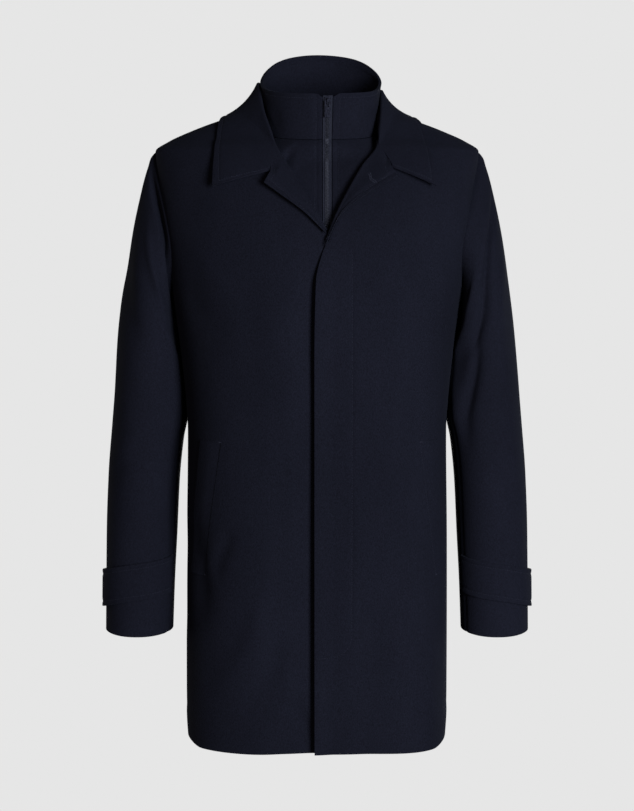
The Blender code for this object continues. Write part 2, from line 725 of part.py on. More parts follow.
def behind(place, thickness, facing):
    """The inner side of a wall: each place moved straight back through the cloth."""
    step = 0.002

    def inner(across, up):
        low_across, high_across = max(across - step, 0.0), min(across + step, 1.0)
        low_up, high_up = max(up - step, 0.0), min(up + step, 1.0)
        over = place(high_across, up) - place(low_across, up)
        rise = place(across, high_up) - place(across, low_up)
        return place(across, up) - over.cross(rise).normalized() * (thickness * facing)
    return inner


def lined(place, thickness):
    """The inner side of a wall that lies on the body or the sleeve."""
    def inner(across, up):
        return place(across, up, -thickness)
    return inner


def cloth_wall(name, columns, rows, outer, inner, finish):
    """One closed wall: a grid laid on the outer places, copied to the inner ones, with its edges closed."""
    shell = bmesh.new()
    bmesh.ops.create_grid(shell, x_segments=columns, y_segments=rows, size=0.5)
    across = shell.verts.layers.float.new("across")
    up = shell.verts.layers.float.new("up")
    for vert in shell.verts:
        vert[across] = vert.co.x + 0.5
        vert[up] = vert.co.y + 0.5
    copied = bmesh.ops.extrude_face_region(shell, geom=shell.faces[:], use_keep_orig=True)
    inside = {item for item in copied["geom"] if isinstance(item, bmesh.types.BMVert)}
    for vert in shell.verts:
        place = inner if vert in inside else outer
        vert.co = place(vert[across], vert[up])
    bmesh.ops.recalc_face_normals(shell, faces=shell.faces[:])
    return add_part(name, shell, finish)


def add_part(name, shell, finish):
    """A named object from a finished mesh, with its material, shaded smooth but for its sharp edges."""
    mesh = bpy.data.meshes.new(name)
    shell.to_mesh(mesh)
    shell.free()
    mesh.materials.append(finish)
    mesh.shade_smooth()
    mesh.set_sharp_from_angle(angle=SHARP_FROM)
    part = bpy.data.objects.new(name, mesh)
    bpy.data.collections[COLLECTION_NAME].objects.link(part)
    return part


def principled(name, colour, roughness, metallic):
    """A plain material of one colour."""
    finish = bpy.data.materials.new(name)
    finish.use_nodes = True
    shader = finish.node_tree.nodes["Principled BSDF"]
    shader.inputs["Base Color"].default_value = (*colour, 1.0)
    shader.inputs["Roughness"].default_value = roughness
    shader.inputs["Metallic"].default_value = metallic
    return finish


def make_body(wool):
    """The two fronts and the two halves of the back, sewn at the sides, shoulders and centre back."""
    for side in ("left", "right"):
        rows = panel_rows(side)
        panel = front_panel(side)
        cloth_wall("front_" + side, FRONT_COLUMNS, rows, panel, lined(panel, CLOTH), wool)
        panel = back_panel(side)
        cloth_wall("back_" + side, BACK_COLUMNS, rows, panel, lined(panel, CLOTH), wool)


def make_sleeves(wool, button):
    """Two-piece sleeves, each with a strap sewn into its front seam and buttoned at the back."""
    gap = SEAM_GAP / 2 / SLEEVE_RADIUS
    for side in ("left", "right"):
        facing = 1 if side == "left" else -1
        upper = sleeve_panel(side, BACK_SLEEVE_SEAM + gap, FRONT_SLEEVE_SEAM - gap)
        cloth_wall("sleeve_upper_" + side, UPPER_COLUMNS, SLEEVE_ROWS, upper, lined(upper, CLOTH), wool)
        under = sleeve_panel(side, FRONT_SLEEVE_SEAM + gap, BACK_SLEEVE_SEAM + 2 * math.pi - gap)
        cloth_wall("sleeve_under_" + side, UNDER_COLUMNS, SLEEVE_ROWS, under, lined(under, CLOTH), wool)
        strap = strap_panel(side)
        inner = behind(strap, STRAP_CLOTH, facing)
        cloth_wall("cuff_strap_" + side, STRAP_COLUMNS, 2, strap, inner, wool)
        make_button("cuff_button_" + side, strap, facing, button)


def make_button(name, strap, facing, finish):
    """A round button with a rolled rim, standing on the strap near its end."""
    step = 0.02
    middle = 0.5
    at = BUTTON_COLUMN / STRAP_COLUMNS
    seat = strap(at, middle)
    around = strap(at + step, middle) - strap(at - step, middle)
    up = strap(at, middle + step) - strap(at, middle - step)
    outward = around.cross(up).normalized() * facing
    shell = bmesh.new()
    bmesh.ops.create_cone(shell, cap_ends=True, segments=BUTTON_SIDES, radius1=BUTTON_RADIUS,
                          radius2=BUTTON_RADIUS, depth=BUTTON_THICKNESS)
    rims = [edge for edge in shell.edges
            if abs(edge.verts[0].co.z - edge.verts[1].co.z) < BUTTON_THICKNESS / 2]
    bmesh.ops.bevel(shell, geom=rims, offset=BUTTON_RIM, segments=2, profile=0.5,
                    affect="EDGES", material=-1)
    lift = BUTTON_THICKNESS / 2 + BUTTON_SEAT_GAP
    turned = outward.to_track_quat("Z", "Y").to_matrix().to_4x4()
    shell.transform(Matrix.Translation(seat + outward * lift) @ turned)
    add_part(name, shell, finish)


def make_collar_and_lapels(wool):
    """The turned collar in one piece on the neck seam, and the two lapels rolled over the fronts."""
    cloth_wall("collar", COLLAR_COLUMNS, COLLAR_ROWS, collar_panel,
               behind(collar_panel, COLLAR_CLOTH, 1), wool)
    for side in ("left", "right"):
        lapel = lapel_panel(side)
        facing = 1 if side == "left" else -1
        cloth_wall("lapel_" + side, LAPEL_COLUMNS, LAPEL_ROWS, lapel, behind(lapel, CLOTH, facing), wool)


def make_pockets(wool):
    """A slanted welt on each front."""
    for side in ("left", "right"):
        welt = pocket_welt(side)
        facing = 1 if side == "left" else -1
        cloth_wall("pocket_welt_" + side, 3, 8, welt, behind(welt, WELT_CLOTH, facing), wool)


def make_bib(wool, zip_finish):
    """The zipped bib inside the fronts: two panels, the funnel neck and the tapes of the zip."""
    cloth_wall("bib_funnel", FUNNEL_COLUMNS, 4, funnel_panel, behind(funnel_panel, FUNNEL_CLOTH, 1), wool)
    for side in ("left", "right"):
        panel = bib_panel(side)
        facing = 1 if side == "left" else -1
        cloth_wall("bib_" + side, 7, 12, panel, behind(panel, BIB_CLOTH, facing), wool)
        tape = zip_tape(side)
        cloth_wall("zip_tape_" + side, 1, 16, tape, behind(tape, TAPE_CLOTH, facing), zip_finish)


def flat_outline(name, outlines, half_thickness):
    """A flat plate with the given outlines, the later ones cut out of the first, as a mesh object."""
    curve = bpy.data.curves.new(name, "CURVE")
    curve.dimensions = "2D"
    curve.fill_mode = "BOTH"
    curve.extrude = half_thickness
    for points in outlines:
        spline = curve.splines.new("POLY")
        spline.points.add(len(points) - 1)
        for spot, (x, y) in zip(spline.points, points):
            spot.co = (x, y, 0.0, 1.0)
        spline.use_cyclic_u = True
    holder = bpy.data.objects.new(name, curve)
    bpy.data.collections[COLLECTION_NAME].objects.link(holder)
    evaluated = holder.evaluated_get(bpy.context.evaluated_depsgraph_get())
    mesh = bpy.data.meshes.new_from_object(evaluated)
    bpy.data.objects.remove(holder)
    plate = bmesh.new()
    plate.from_mesh(mesh)
    bpy.data.meshes.remove(mesh)
    bmesh.ops.remove_doubles(plate, verts=plate.verts[:], dist=1e-6)
    bmesh.ops.recalc_face_normals(plate, faces=plate.faces[:])
    return plate


def rounded_box_outline(half_width, low, high, radius):
    """The outline of a box with round corners, a few points to each corner."""
    points = []
    corners = (
        (half_width, high, 0),
        (-half_width, high, 90),
        (-half_width, low, 180),
        (half_width, low, 270),
    )
    for x, y, start in corners:
        centre_x = x - math.copysign(radius, x)
        centre_y = y - radius if y == high else y + radius
        for part in range(3):
            angle = math.radians(start + 45 * part)
            points.append((centre_x + radius * math.cos(angle), centre_y + radius * math.sin(angle)))
    return points


def zip_frame():
    """The slider's place: right along +X, up the zip, and straight out of the neck."""
    share = ZIP_FUNNEL_FROM + (1 - ZIP_FUNNEL_FROM) * SLIDER_AT
    centre = zip_line(ZIP_X, share)
    step = 0.02
    up = (zip_line(ZIP_X, share + step) - zip_line(ZIP_X, share - step)).normalized()
    right = Vector((1.0, 0.0, 0.0))
    up = (up - right * up.dot(right)).normalized()
    return centre, right, up, right.cross(up).normalized()


def make_slider(metal):
    """The zip's slider with the bail that its tab hangs on, and the tab as a piece of its own on the bail."""
    centre, right, up, out = zip_frame()
    frame = Matrix((right, up, out)).transposed().to_4x4()
    width, thickness, length = SLIDER_SIZE
    plate = bmesh.new()
    bmesh.ops.create_cube(plate, size=1.0)
    bmesh.ops.scale(plate, vec=(width, length, thickness), verts=plate.verts[:])
    uprights = [edge for edge in plate.edges if abs(edge.verts[0].co.z - edge.verts[1].co.z) > thickness / 2]
    bmesh.ops.bevel(plate, geom=uprights, offset=SLIDER_CORNER, segments=3, profile=0.5,
                    affect="EDGES", material=-1)
    plate.transform(Matrix.Translation(centre + out * SLIDER_OUT) @ frame)
    slider = add_part("zip_slider", plate, metal)
    face = SLIDER_OUT + thickness / 2
    outer = rounded_box_outline(BAIL_HALF_LENGTH, -BAIL_SUNK, BAIL_HEIGHT, BAIL_CORNER)
    window_top = BAIL_HEIGHT - BAIL_BAR
    window_half = BAIL_HALF_LENGTH - BAIL_BAR
    window = rounded_box_outline(window_half, BAIL_WINDOW_FOOT, window_top, BAIL_WINDOW_CORNER)
    bail = flat_outline("bail", (outer, window), BAIL_HALF_WIDTH)
    along_up = Matrix((up, out, up.cross(out))).transposed().to_4x4()
    bail.transform(Matrix.Translation(centre + out * face) @ along_up)
    cutter = add_part("bail_joined_to_slider", bail, metal)
    bpy.data.collections[COLLECTION_NAME].objects.unlink(cutter)
    bpy.data.collections[COLLECTION_NAME + "_cutters"].objects.link(cutter)
    cutter.hide_render = True
    cutter.display_type = "WIRE"
    join = slider.modifiers.new("bail", "BOOLEAN")
    join.operation = "UNION"
    join.object = cutter
    axis = centre + out * (face + (window_top + BAIL_WINDOW_FOOT) / 2)
    body = rounded_box_outline(TAB_HALF_WIDTH, -TAB_LENGTH, TAB_BAR, TAB_CORNER)
    eye = rounded_box_outline(TAB_EYE_HALF_WIDTH, -TAB_EYE_LENGTH, -TAB_BAR, TAB_EYE_CORNER)
    tab = flat_outline("tab", (body, eye), TAB_THICKNESS / 2)
    tab.transform(frame)
    part = add_part("zip_pull", tab, metal)
    part.location = axis


def main():
    """Clears the scene, then makes each piece of the coat in the order in which it is sewn together."""
    for old in list(bpy.data.objects):
        bpy.data.objects.remove(old)
    for name in (COLLECTION_NAME, COLLECTION_NAME + "_cutters"):
        bpy.context.scene.collection.children.link(bpy.data.collections.new(name))
    wool = principled("navy_wool", NAVY_WOOL, 0.9, 0.0)
    button = principled("navy_button", BUTTON_NAVY, 0.4, 0.0)
    zip_finish = principled("zip_tape", ZIP_GREY, 0.8, 0.0)
    metal = principled("zip_metal", ZIP_GREY, 0.35, 0.8)
    make_body(wool)
    make_sleeves(wool, button)
    make_pockets(wool)
    make_bib(wool, zip_finish)
    make_slider(metal)
    make_collar_and_lapels(wool)


main()
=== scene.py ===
import math
from bisect import bisect_right

import bmesh
import bpy
from mathutils import Matrix, Vector


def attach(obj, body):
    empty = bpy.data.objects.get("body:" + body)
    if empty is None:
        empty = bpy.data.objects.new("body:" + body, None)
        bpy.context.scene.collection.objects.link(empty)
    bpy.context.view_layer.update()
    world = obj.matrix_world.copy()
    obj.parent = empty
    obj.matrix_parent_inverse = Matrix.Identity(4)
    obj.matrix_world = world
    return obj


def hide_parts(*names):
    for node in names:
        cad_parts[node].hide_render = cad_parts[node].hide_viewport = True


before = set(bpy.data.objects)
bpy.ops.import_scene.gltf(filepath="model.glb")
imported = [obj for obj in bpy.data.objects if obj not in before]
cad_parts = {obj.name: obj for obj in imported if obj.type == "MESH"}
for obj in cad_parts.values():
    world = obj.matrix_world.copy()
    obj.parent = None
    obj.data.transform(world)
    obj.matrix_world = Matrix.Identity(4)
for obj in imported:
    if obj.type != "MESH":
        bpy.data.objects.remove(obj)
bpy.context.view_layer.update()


# The back: two panels of milled navy wool, about 2 mm thick, sewn together down the middle.
# They are sewn to the fronts at the sides and shoulders and to the collar at the neck, and hang
# from the shoulders in a few soft folds, with a turned-up hem.
class Sections:
    """Rows of named columns, read between the rows by a smooth curve that never overshoots them."""

    def __init__(self, columns, rows):
        self.at_row = [float(row[0]) for row in rows]
        self.heights = {}
        self.slopes = {}
        for index, name in enumerate(columns.split()):
            heights = [float(row[index]) for row in rows]
            self.heights[name] = heights
            self.slopes[name] = self.row_slopes(heights)

    def row_slopes(self, heights):
        """The slope at each row, zero where the column turns back."""
        widths = [after - before for before, after in zip(self.at_row, self.at_row[1:])]
        rises = [(heights[row + 1] - heights[row]) / widths[row] for row in range(len(widths))]
        slopes = [rises[0]]
        for row in range(1, len(widths)):
            slope = 0.0
            if rises[row - 1] * rises[row] > 0:
                near = 2 * widths[row] + widths[row - 1]
                far = widths[row] + 2 * widths[row - 1]
                slope = (near + far) / (near / rises[row - 1] + far / rises[row])
            slopes.append(slope)
        slopes.append(rises[-1])
        return slopes

    def read(self, name, at):
        """The value of one column at any place along the first column, straight on past either end."""
        heights = self.heights[name]
        slopes = self.slopes[name]
        if at <= self.at_row[0]:
            return heights[0] + slopes[0] * (at - self.at_row[0])
        if at >= self.at_row[-1]:
            return heights[-1] + slopes[-1] * (at - self.at_row[-1])
        row = bisect_right(self.at_row, at) - 1
        width = self.at_row[row + 1] - self.at_row[row]
        share = (at - self.at_row[row]) / width
        eased = share * share * (3 - 2 * share)
        leave = share * (1 - share) * (1 - share)
        arrive = share * share * (share - 1)
        level = heights[row] * (1 - eased) + heights[row + 1] * eased
        return level + width * (leave * slopes[row] + arrive * slopes[row + 1])


TORSO = Sections("level half_width front_depth back_depth squareness", (
    (-0.873, 0.1785, 0.148, 0.138, 4.40),
    (-0.850, 0.1800, 0.148, 0.138, 4.20),
    (-0.810, 0.1808, 0.148, 0.137, 4.00),
    (-0.600, 0.181, 0.146, 0.134, 3.10),
    (-0.450, 0.180, 0.143, 0.130, 2.60),
    (-0.400, 0.183, 0.142, 0.128, 2.50),
    (-0.335, 0.190, 0.141, 0.128, 2.45),
    (-0.270, 0.199, 0.138, 0.128, 2.40),
    (-0.214, 0.208, 0.132, 0.122, 2.40),
    (-0.160, 0.217, 0.120, 0.110, 2.40),
    (-0.100, 0.222, 0.095, 0.092, 2.25),
    (-0.063, 0.224, 0.072, 0.078, 2.10),
    (-0.050, 0.206, 0.060, 0.071, 2.05),
    (-0.0360, 0.175, 0.050, 0.063, 2.05),
    (-0.0275, 0.153, 0.044, 0.058, 2.05),
    (-0.0195, 0.130, 0.037, 0.052, 2.10),
    (-0.0100, 0.106, 0.028, 0.043, 2.15),
    (-0.0040, 0.093, 0.020, 0.034, 2.20),
    (0.0000, 0.0865, 0.010, 0.012, 2.20),
))
SKIRT_FOLDS = Sections("turn depth", (
    (-360.0, 0.0),
    (-165.0, 0.0010),
    (-140.0, -0.0045),
    (-118.0, 0.0035),
    (-100.0, -0.0015),
    (-80.0, 0.0000),
    (-66.0, -0.0020),
    (-48.0, 0.0020),
    (-30.0, -0.0015),
    (0.0, 0.0015),
    (35.0, -0.0035),
    (60.0, 0.0030),
    (88.0, -0.0030),
    (118.0, 0.0035),
    (150.0, -0.0030),
    (180.0, 0.0015),
    (195.0, 0.0010),
    (360.0, 0.0),
))
SKIRT_FOLDS_START = -0.45
SKIRT_FOLDS_FULL = -0.78
HEM_LEVEL = -0.873
HEM_RISE_AT_SIDES = 0.005
HEM_RISE_FROM_SHARE = 0.88
HEM_RISE_FADES_AT = -0.65
ARMPIT_LEVEL = -0.270
SHOULDER_POINT_LEVEL = -0.063
NECK_POINT_LEVEL = 0.0
BACK_NECK_DROP = 0.025
ARMHOLE_MIDDLE = (ARMPIT_LEVEL + SHOULDER_POINT_LEVEL) / 2
ARMHOLE_HALF_HEIGHT = (SHOULDER_POINT_LEVEL - ARMPIT_LEVEL) / 2
ARMHOLE_FRONT_DEPTH = 0.052
ARMHOLE_BACK_DEPTH = 0.062
ARMHOLE_ROUNDNESS = 2.0
ARMHOLE_LEAN = 0.50
ARMHOLE_REACH = 0.68
SEAM_LAP = 0.0003
CLOTH = 0.0022
CUT_EDGE_ROUND = 0.0008
SKIRT_SHARE = 11 / 26
ARMHOLE_TOP_SHARE = 21 / 26


def ease(share):
    """A smooth step from 0 to 1."""
    held = min(max(share, 0.0), 1.0)
    return held * held * (3 - 2 * held)


def mix(start, end, share):
    return start + (end - start) * share


def bump(distance, reach):
    """A soft swell: 1 on a line, and fading out over its reach beside it."""
    return math.exp(-(distance / reach) ** 2)


def oval(share, power):
    """The height of a squared-off oval, from 1 at its middle to 0 at its end."""
    return (1 - share ** power) ** (1 / power)


def skirt_fold(turn, level):
    """How far the broad folds of the skirt stand out from the plain section, fullest at the hem."""
    strength = ease((SKIRT_FOLDS_START - level) / (SKIRT_FOLDS_START - SKIRT_FOLDS_FULL))
    return strength * SKIRT_FOLDS.read("depth", math.degrees(turn))


def torso_point(turn, level):
    """The outside of the body at a turn about +Z from the wearer's left: minus to the front."""
    half_width = TORSO.read("half_width", level)
    depth = TORSO.read("front_depth" if math.sin(turn) < 0 else "back_depth", level)
    squareness = TORSO.read("squareness", level)
    along = abs(math.cos(turn) / half_width) ** squareness
    across = abs(math.sin(turn) / depth) ** squareness
    radius = (along + across) ** (-1 / squareness) + skirt_fold(turn, level)
    side_share = radius * abs(math.cos(turn)) / half_width
    rise = HEM_RISE_AT_SIDES * ease((side_share - HEM_RISE_FROM_SHARE) / (1 - HEM_RISE_FROM_SHARE))
    rise *= max(0.0, (HEM_RISE_FADES_AT - level) / (HEM_RISE_FADES_AT - HEM_LEVEL))
    return Vector((radius * math.cos(turn), radius * math.sin(turn), level + rise))


def torso_normal(turn, level):
    """The direction straight out of the body's surface."""
    step_turn = 0.004
    step_level = 0.0008
    around = torso_point(turn + step_turn, level) - torso_point(turn - step_turn, level)
    upward = torso_point(turn, level + step_level) - torso_point(turn, level - step_level)
    return around.cross(upward).normalized()


def armhole_lean(height):
    """The lean of the front armhole: nearer the side above its middle (0), further forward below it."""
    return 1 - ARMHOLE_LEAN * height * (1 + height)


def armhole_turn(level, depth_name, armhole_depth):
    """The turn from the side seam at which the armhole cuts a panel at one level."""
    height = (level - ARMHOLE_MIDDLE) / ARMHOLE_HALF_HEIGHT
    if abs(height) >= 1:
        return 0.0
    y = armhole_depth * oval(abs(height), ARMHOLE_ROUNDNESS)
    if depth_name == "front_depth":
        y *= armhole_lean(height)
    share = y / TORSO.read(depth_name, level)
    x = TORSO.read("half_width", level) * oval(share, TORSO.read("squareness", level))
    return math.atan2(y, x)


def panel_level(up, top_level):
    """Levels up a panel: even in the skirt, evenly round the armhole, then up to its top edge."""
    if up <= SKIRT_SHARE:
        return mix(HEM_LEVEL, ARMPIT_LEVEL, up / SKIRT_SHARE)
    if up <= ARMHOLE_TOP_SHARE:
        swing = math.pi * (up - SKIRT_SHARE) / (ARMHOLE_TOP_SHARE - SKIRT_SHARE)
        return mix(ARMPIT_LEVEL, SHOULDER_POINT_LEVEL, (1 - math.cos(swing)) / 2)
    return mix(SHOULDER_POINT_LEVEL, top_level, (up - ARMHOLE_TOP_SHARE) / (1 - ARMHOLE_TOP_SHARE))


def seam_turn(level):
    """Half the width by which two rounded edges are pressed into each other, as a turn at the side."""
    return 0.5 * SEAM_LAP / TORSO.read("half_width", level)


def fold_height(folds, across, up):
    """How far folds lift or sink the cloth, each given as a line on the panel, its spread and its lift."""
    wander_share = 0.35
    wander_waves = 8.0
    end_share = 0.42
    narrow = 0.75
    widens = 0.5
    height = 0.0
    for from_across, from_up, to_across, to_up, spread, lift in folds:
        run_across = to_across - from_across
        run_up = to_up - from_up
        length = math.hypot(run_across, run_up)
        along = ((across - from_across) * run_across + (up - from_up) * run_up) / length ** 2
        if 0.0 < along < 1.0:
            aside = ((across - from_across) * run_up - (up - from_up) * run_across) / length
            aside += spread * wander_share * math.sin(wander_waves * along + length / spread)
            ends = ease(min(along, 1 - along) / end_share)
            height += lift * ends * bump(aside, spread * (narrow + widens * along))
    return height


def seam_dip(distance):
    """The cloth drawn down beside a pressed seam."""
    dip = 0.0009
    reach = 0.0045
    return -dip * bump(distance, reach)


def side_seam_dip(distance, level):
    """The dip beside a side seam, which the sleeve presses flat where it lies against the body."""
    pressed_from = -0.250
    pressed_to = -0.440
    fades_over = 0.030
    free = ease((pressed_to - level) / fades_over) + ease((level - pressed_from) / fades_over)
    return seam_dip(distance) * min(free, 1.0)


def shoulder_rounding(distance, level):
    """The end of the shoulder, softened where the head of the sleeve takes over."""
    drop = 0.0012
    reach = 0.011
    starts_at = -0.170
    full_at = -0.090
    return -drop * ease((level - starts_at) / (full_at - starts_at)) * bump(distance, reach)


def hem_relief(above_hem):
    """The turned-up hem: a little thicker below the line where its edge is felled inside."""
    hem_width = 0.042
    thicker = 0.0007
    fades_over = 0.010
    return thicker * ease((hem_width - above_hem) / fades_over)


def spaced(*stretches):
    """Shares along one side of a panel: each stretch runs evenly to its end in a number of steps."""
    shares = [0.0]
    for end, steps in stretches:
        start = shares[-1]
        shares += [mix(start, end, step / steps) for step in range(1, steps + 1)]
    return shares


def cloth_shell(name, across_shares, up_shares, place, thickness, facing, finish, edge=CUT_EDGE_ROUND):
    """A panel as a closed shell: a grid on its places, backed at the cloth's thickness, with round edges."""
    rim_angle = math.radians(55)
    rim_steps = 2
    shell = bmesh.new()
    columns = len(across_shares) - 1
    rows = len(up_shares) - 1
    bmesh.ops.create_grid(shell, x_segments=columns, y_segments=rows, size=0.5)
    for vert in shell.verts:
        across = across_shares[round((vert.co.x + 0.5) * columns)]
        up = up_shares[round((vert.co.y + 0.5) * rows)]
        vert.co = place(across, up)
    if facing < 0:
        bmesh.ops.reverse_faces(shell, faces=shell.faces[:])
    shell.normal_update()
    out = shell.verts.layers.float_vector.new("out")
    for vert in shell.verts:
        vert[out] = vert.normal
    copied = bmesh.ops.extrude_face_region(shell, geom=shell.faces[:], use_keep_orig=True)
    for item in copied["geom"]:
        if isinstance(item, bmesh.types.BMVert):
            item.co -= item[out] * thickness
    bmesh.ops.recalc_face_normals(shell, faces=shell.faces[:])
    rim = [line for line in shell.edges if line.calc_face_angle(0.0) > rim_angle]
    bmesh.ops.bevel(shell, geom=rim, offset=edge, segments=rim_steps, profile=0.5,
                    affect="EDGES", material=-1, clamp_overlap=True)
    return add_piece(name, shell, finish)


def add_piece(name, shell, finish):
    """A named object from a finished mesh, shaded smooth, with its material."""
    mesh = bpy.data.meshes.new(name)
    shell.to_mesh(mesh)
    shell.free()
    mesh.materials.append(finish)
    mesh.shade_smooth()
    piece = bpy.data.objects.new(name, mesh)
    bpy.context.scene.collection.objects.link(piece)
    return piece


def stand_in(piece, node, body="coat"):
    """The finished piece takes the place of its plain solid and moves with that solid's body."""
    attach(piece, body)
    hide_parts(node)


def new_finish(name):
    """A new material and its shader."""
    finish = bpy.data.materials.new(name)
    finish.use_nodes = True
    return finish, finish.node_tree.nodes["Principled BSDF"]


def fibre_noise(finish, scale, detail, roughness, stretch=(1.0, 1.0, 1.0)):
    """A noise through a piece, in metres of the coat, drawn out along one direction or even."""
    nodes = finish.node_tree.nodes
    links = finish.node_tree.links
    place = nodes.new("ShaderNodeTexCoord")
    turned = nodes.new("ShaderNodeMapping")
    turned.inputs["Scale"].default_value = stretch
    noise = nodes.new("ShaderNodeTexNoise")
    noise.inputs["Scale"].default_value = scale
    noise.inputs["Detail"].default_value = detail
    noise.inputs["Roughness"].default_value = roughness
    links.new(place.outputs["Object"], turned.inputs["Vector"])
    links.new(turned.outputs["Vector"], noise.inputs["Vector"])
    return noise


def colours_along(finish, noise, steps):
    """Colours that follow a noise, each at its share of it."""
    ramp = finish.node_tree.nodes.new("ShaderNodeValToRGB")
    ramp.color_ramp.elements[0].position = steps[0][0]
    ramp.color_ramp.elements[0].color = (*steps[0][1], 1.0)
    ramp.color_ramp.elements[1].position = steps[-1][0]
    ramp.color_ramp.elements[1].color = (*steps[-1][1], 1.0)
    for share, colour in steps[1:-1]:
        ramp.color_ramp.elements.new(share).color = (*colour, 1.0)
    finish.node_tree.links.new(noise.outputs["Fac"], ramp.inputs["Fac"])
    return ramp.outputs["Color"]


def range_along(finish, noise, low, high, noise_low=0.0, noise_high=1.0):
    """A measure that follows a noise from a low to a high value."""
    spread = finish.node_tree.nodes.new("ShaderNodeMapRange")
    spread.inputs["From Min"].default_value = noise_low
    spread.inputs["From Max"].default_value = noise_high
    spread.inputs["To Min"].default_value = low
    spread.inputs["To Max"].default_value = high
    finish.node_tree.links.new(noise.outputs["Fac"], spread.inputs["Value"])
    return spread.outputs["Result"]


def relief_along(finish, noise, strength, distance):
    """A fine relief that follows a noise."""
    relief = finish.node_tree.nodes.new("ShaderNodeBump")
    relief.inputs["Strength"].default_value = strength
    relief.inputs["Distance"].default_value = distance
    finish.node_tree.links.new(noise.outputs["Fac"], relief.inputs["Height"])
    return relief


def milled_wool(name):
    """Milled wool: matted short fibres in close shades of navy over a hidden weave, with a soft nap."""
    deep_navy = (0.0058, 0.0058, 0.0098)
    navy = (0.0088, 0.0092, 0.0158)
    pale_fibre = (0.0124, 0.0130, 0.0226)
    finish, shader = new_finish(name)
    links = finish.node_tree.links
    fibres = fibre_noise(finish, scale=820.0, detail=3.0, roughness=0.6, stretch=(1.0, 1.0, 0.55))
    weave = fibre_noise(finish, scale=480.0, detail=2.0, roughness=0.5, stretch=(0.5, 0.5, 1.0))
    brushing = fibre_noise(finish, scale=11.0, detail=3.0, roughness=0.55, stretch=(1.0, 1.0, 0.40))
    tones = colours_along(finish, fibres, ((0.28, deep_navy), (0.50, navy), (0.76, pale_fibre)))
    patches = range_along(finish, brushing, low=0.88, high=1.12, noise_low=0.30, noise_high=0.70)
    brushed = finish.node_tree.nodes.new("ShaderNodeHueSaturation")
    links.new(tones, brushed.inputs["Color"])
    links.new(patches, brushed.inputs["Value"])
    links.new(brushed.outputs["Color"], shader.inputs["Base Color"])
    links.new(range_along(finish, fibres, low=0.84, high=0.98), shader.inputs["Roughness"])
    under = relief_along(finish, weave, strength=0.25, distance=0.0008)
    nap = relief_along(finish, fibres, strength=0.40, distance=0.0006)
    links.new(under.outputs["Normal"], nap.inputs["Normal"])
    links.new(nap.outputs["Normal"], shader.inputs["Normal"])
    shader.inputs["Specular IOR Level"].default_value = 0.03
    shader.inputs["Sheen Weight"].default_value = 0.020
    shader.inputs["Sheen Roughness"].default_value = 0.45
    shader.inputs["Sheen Tint"].default_value = (0.72, 0.78, 1.0, 1.0)
    return finish


wool = milled_wool("milled_navy_wool")
SIDES = (("left", 1), ("right", -1))
BODY_ROWS = spaced((0.0035, 3), (0.03, 6), (SKIRT_SHARE, 92), (ARMHOLE_TOP_SHARE, 60), (1.0, 26))
BACK_COLUMNS = spaced((0.012, 3), (0.06, 5), (0.95, 46), (0.988, 4), (1.0, 3))
BACK_WIDTH = 0.27
BACK_FOLDS = (
    (-0.150, -0.170, -0.105, -0.330, 0.020, -0.0035),
    (-0.125, -0.150, -0.080, -0.300, 0.018, 0.0030),
    (0.150, -0.165, 0.100, -0.340, 0.021, -0.0036),
    (0.124, -0.140, 0.076, -0.310, 0.018, 0.0030),
    (-0.030, -0.330, -0.070, -0.640, 0.026, -0.0035),
    (0.015, -0.360, 0.004, -0.760, 0.030, 0.0038),
    (0.045, -0.400, 0.085, -0.720, 0.024, -0.0036),
    (-0.120, -0.480, -0.085, -0.850, 0.024, 0.0042),
    (0.130, -0.520, 0.118, -0.860, 0.024, 0.0040),
    (-0.155, -0.430, -0.030, -0.520, 0.020, -0.0030),
    (0.150, -0.450, 0.040, -0.560, 0.022, -0.0030),
    (-0.060, -0.060, 0.060, -0.072, 0.018, -0.0022),
)


def back_panel(side):
    """Places on one half of the back, from its side and armhole (0) to the centre seam (1)."""
    def place(across, up):
        centre_share = math.sin(math.pi / 2 * across)
        level = panel_level(up, NECK_POINT_LEVEL - BACK_NECK_DROP * centre_share)
        edge = armhole_turn(level, "back_depth", ARMHOLE_BACK_DEPTH) - seam_turn(level)
        centre = math.pi / 2 + 0.5 * SEAM_LAP / TORSO.read("back_depth", level)
        turn = centre * across + edge * max(0.0, 1 - across / ARMHOLE_REACH)
        placed = turn if side == "left" else math.pi - turn
        point = torso_point(placed, level)
        relief = fold_height(BACK_FOLDS, point.x, level) + hem_relief(level - HEM_LEVEL)
        relief += seam_dip((1 - across) * BACK_WIDTH) + side_seam_dip(across * BACK_WIDTH, level)
        relief += shoulder_rounding(across * BACK_WIDTH, level)
        return point + torso_normal(placed, level) * relief
    return place


for side, facing in SIDES:
    panel = back_panel(side)
    half_back = cloth_shell("wool_back_" + side, BACK_COLUMNS, BODY_ROWS, panel, CLOTH, facing, wool)
    stand_in(half_back, "back_" + side)


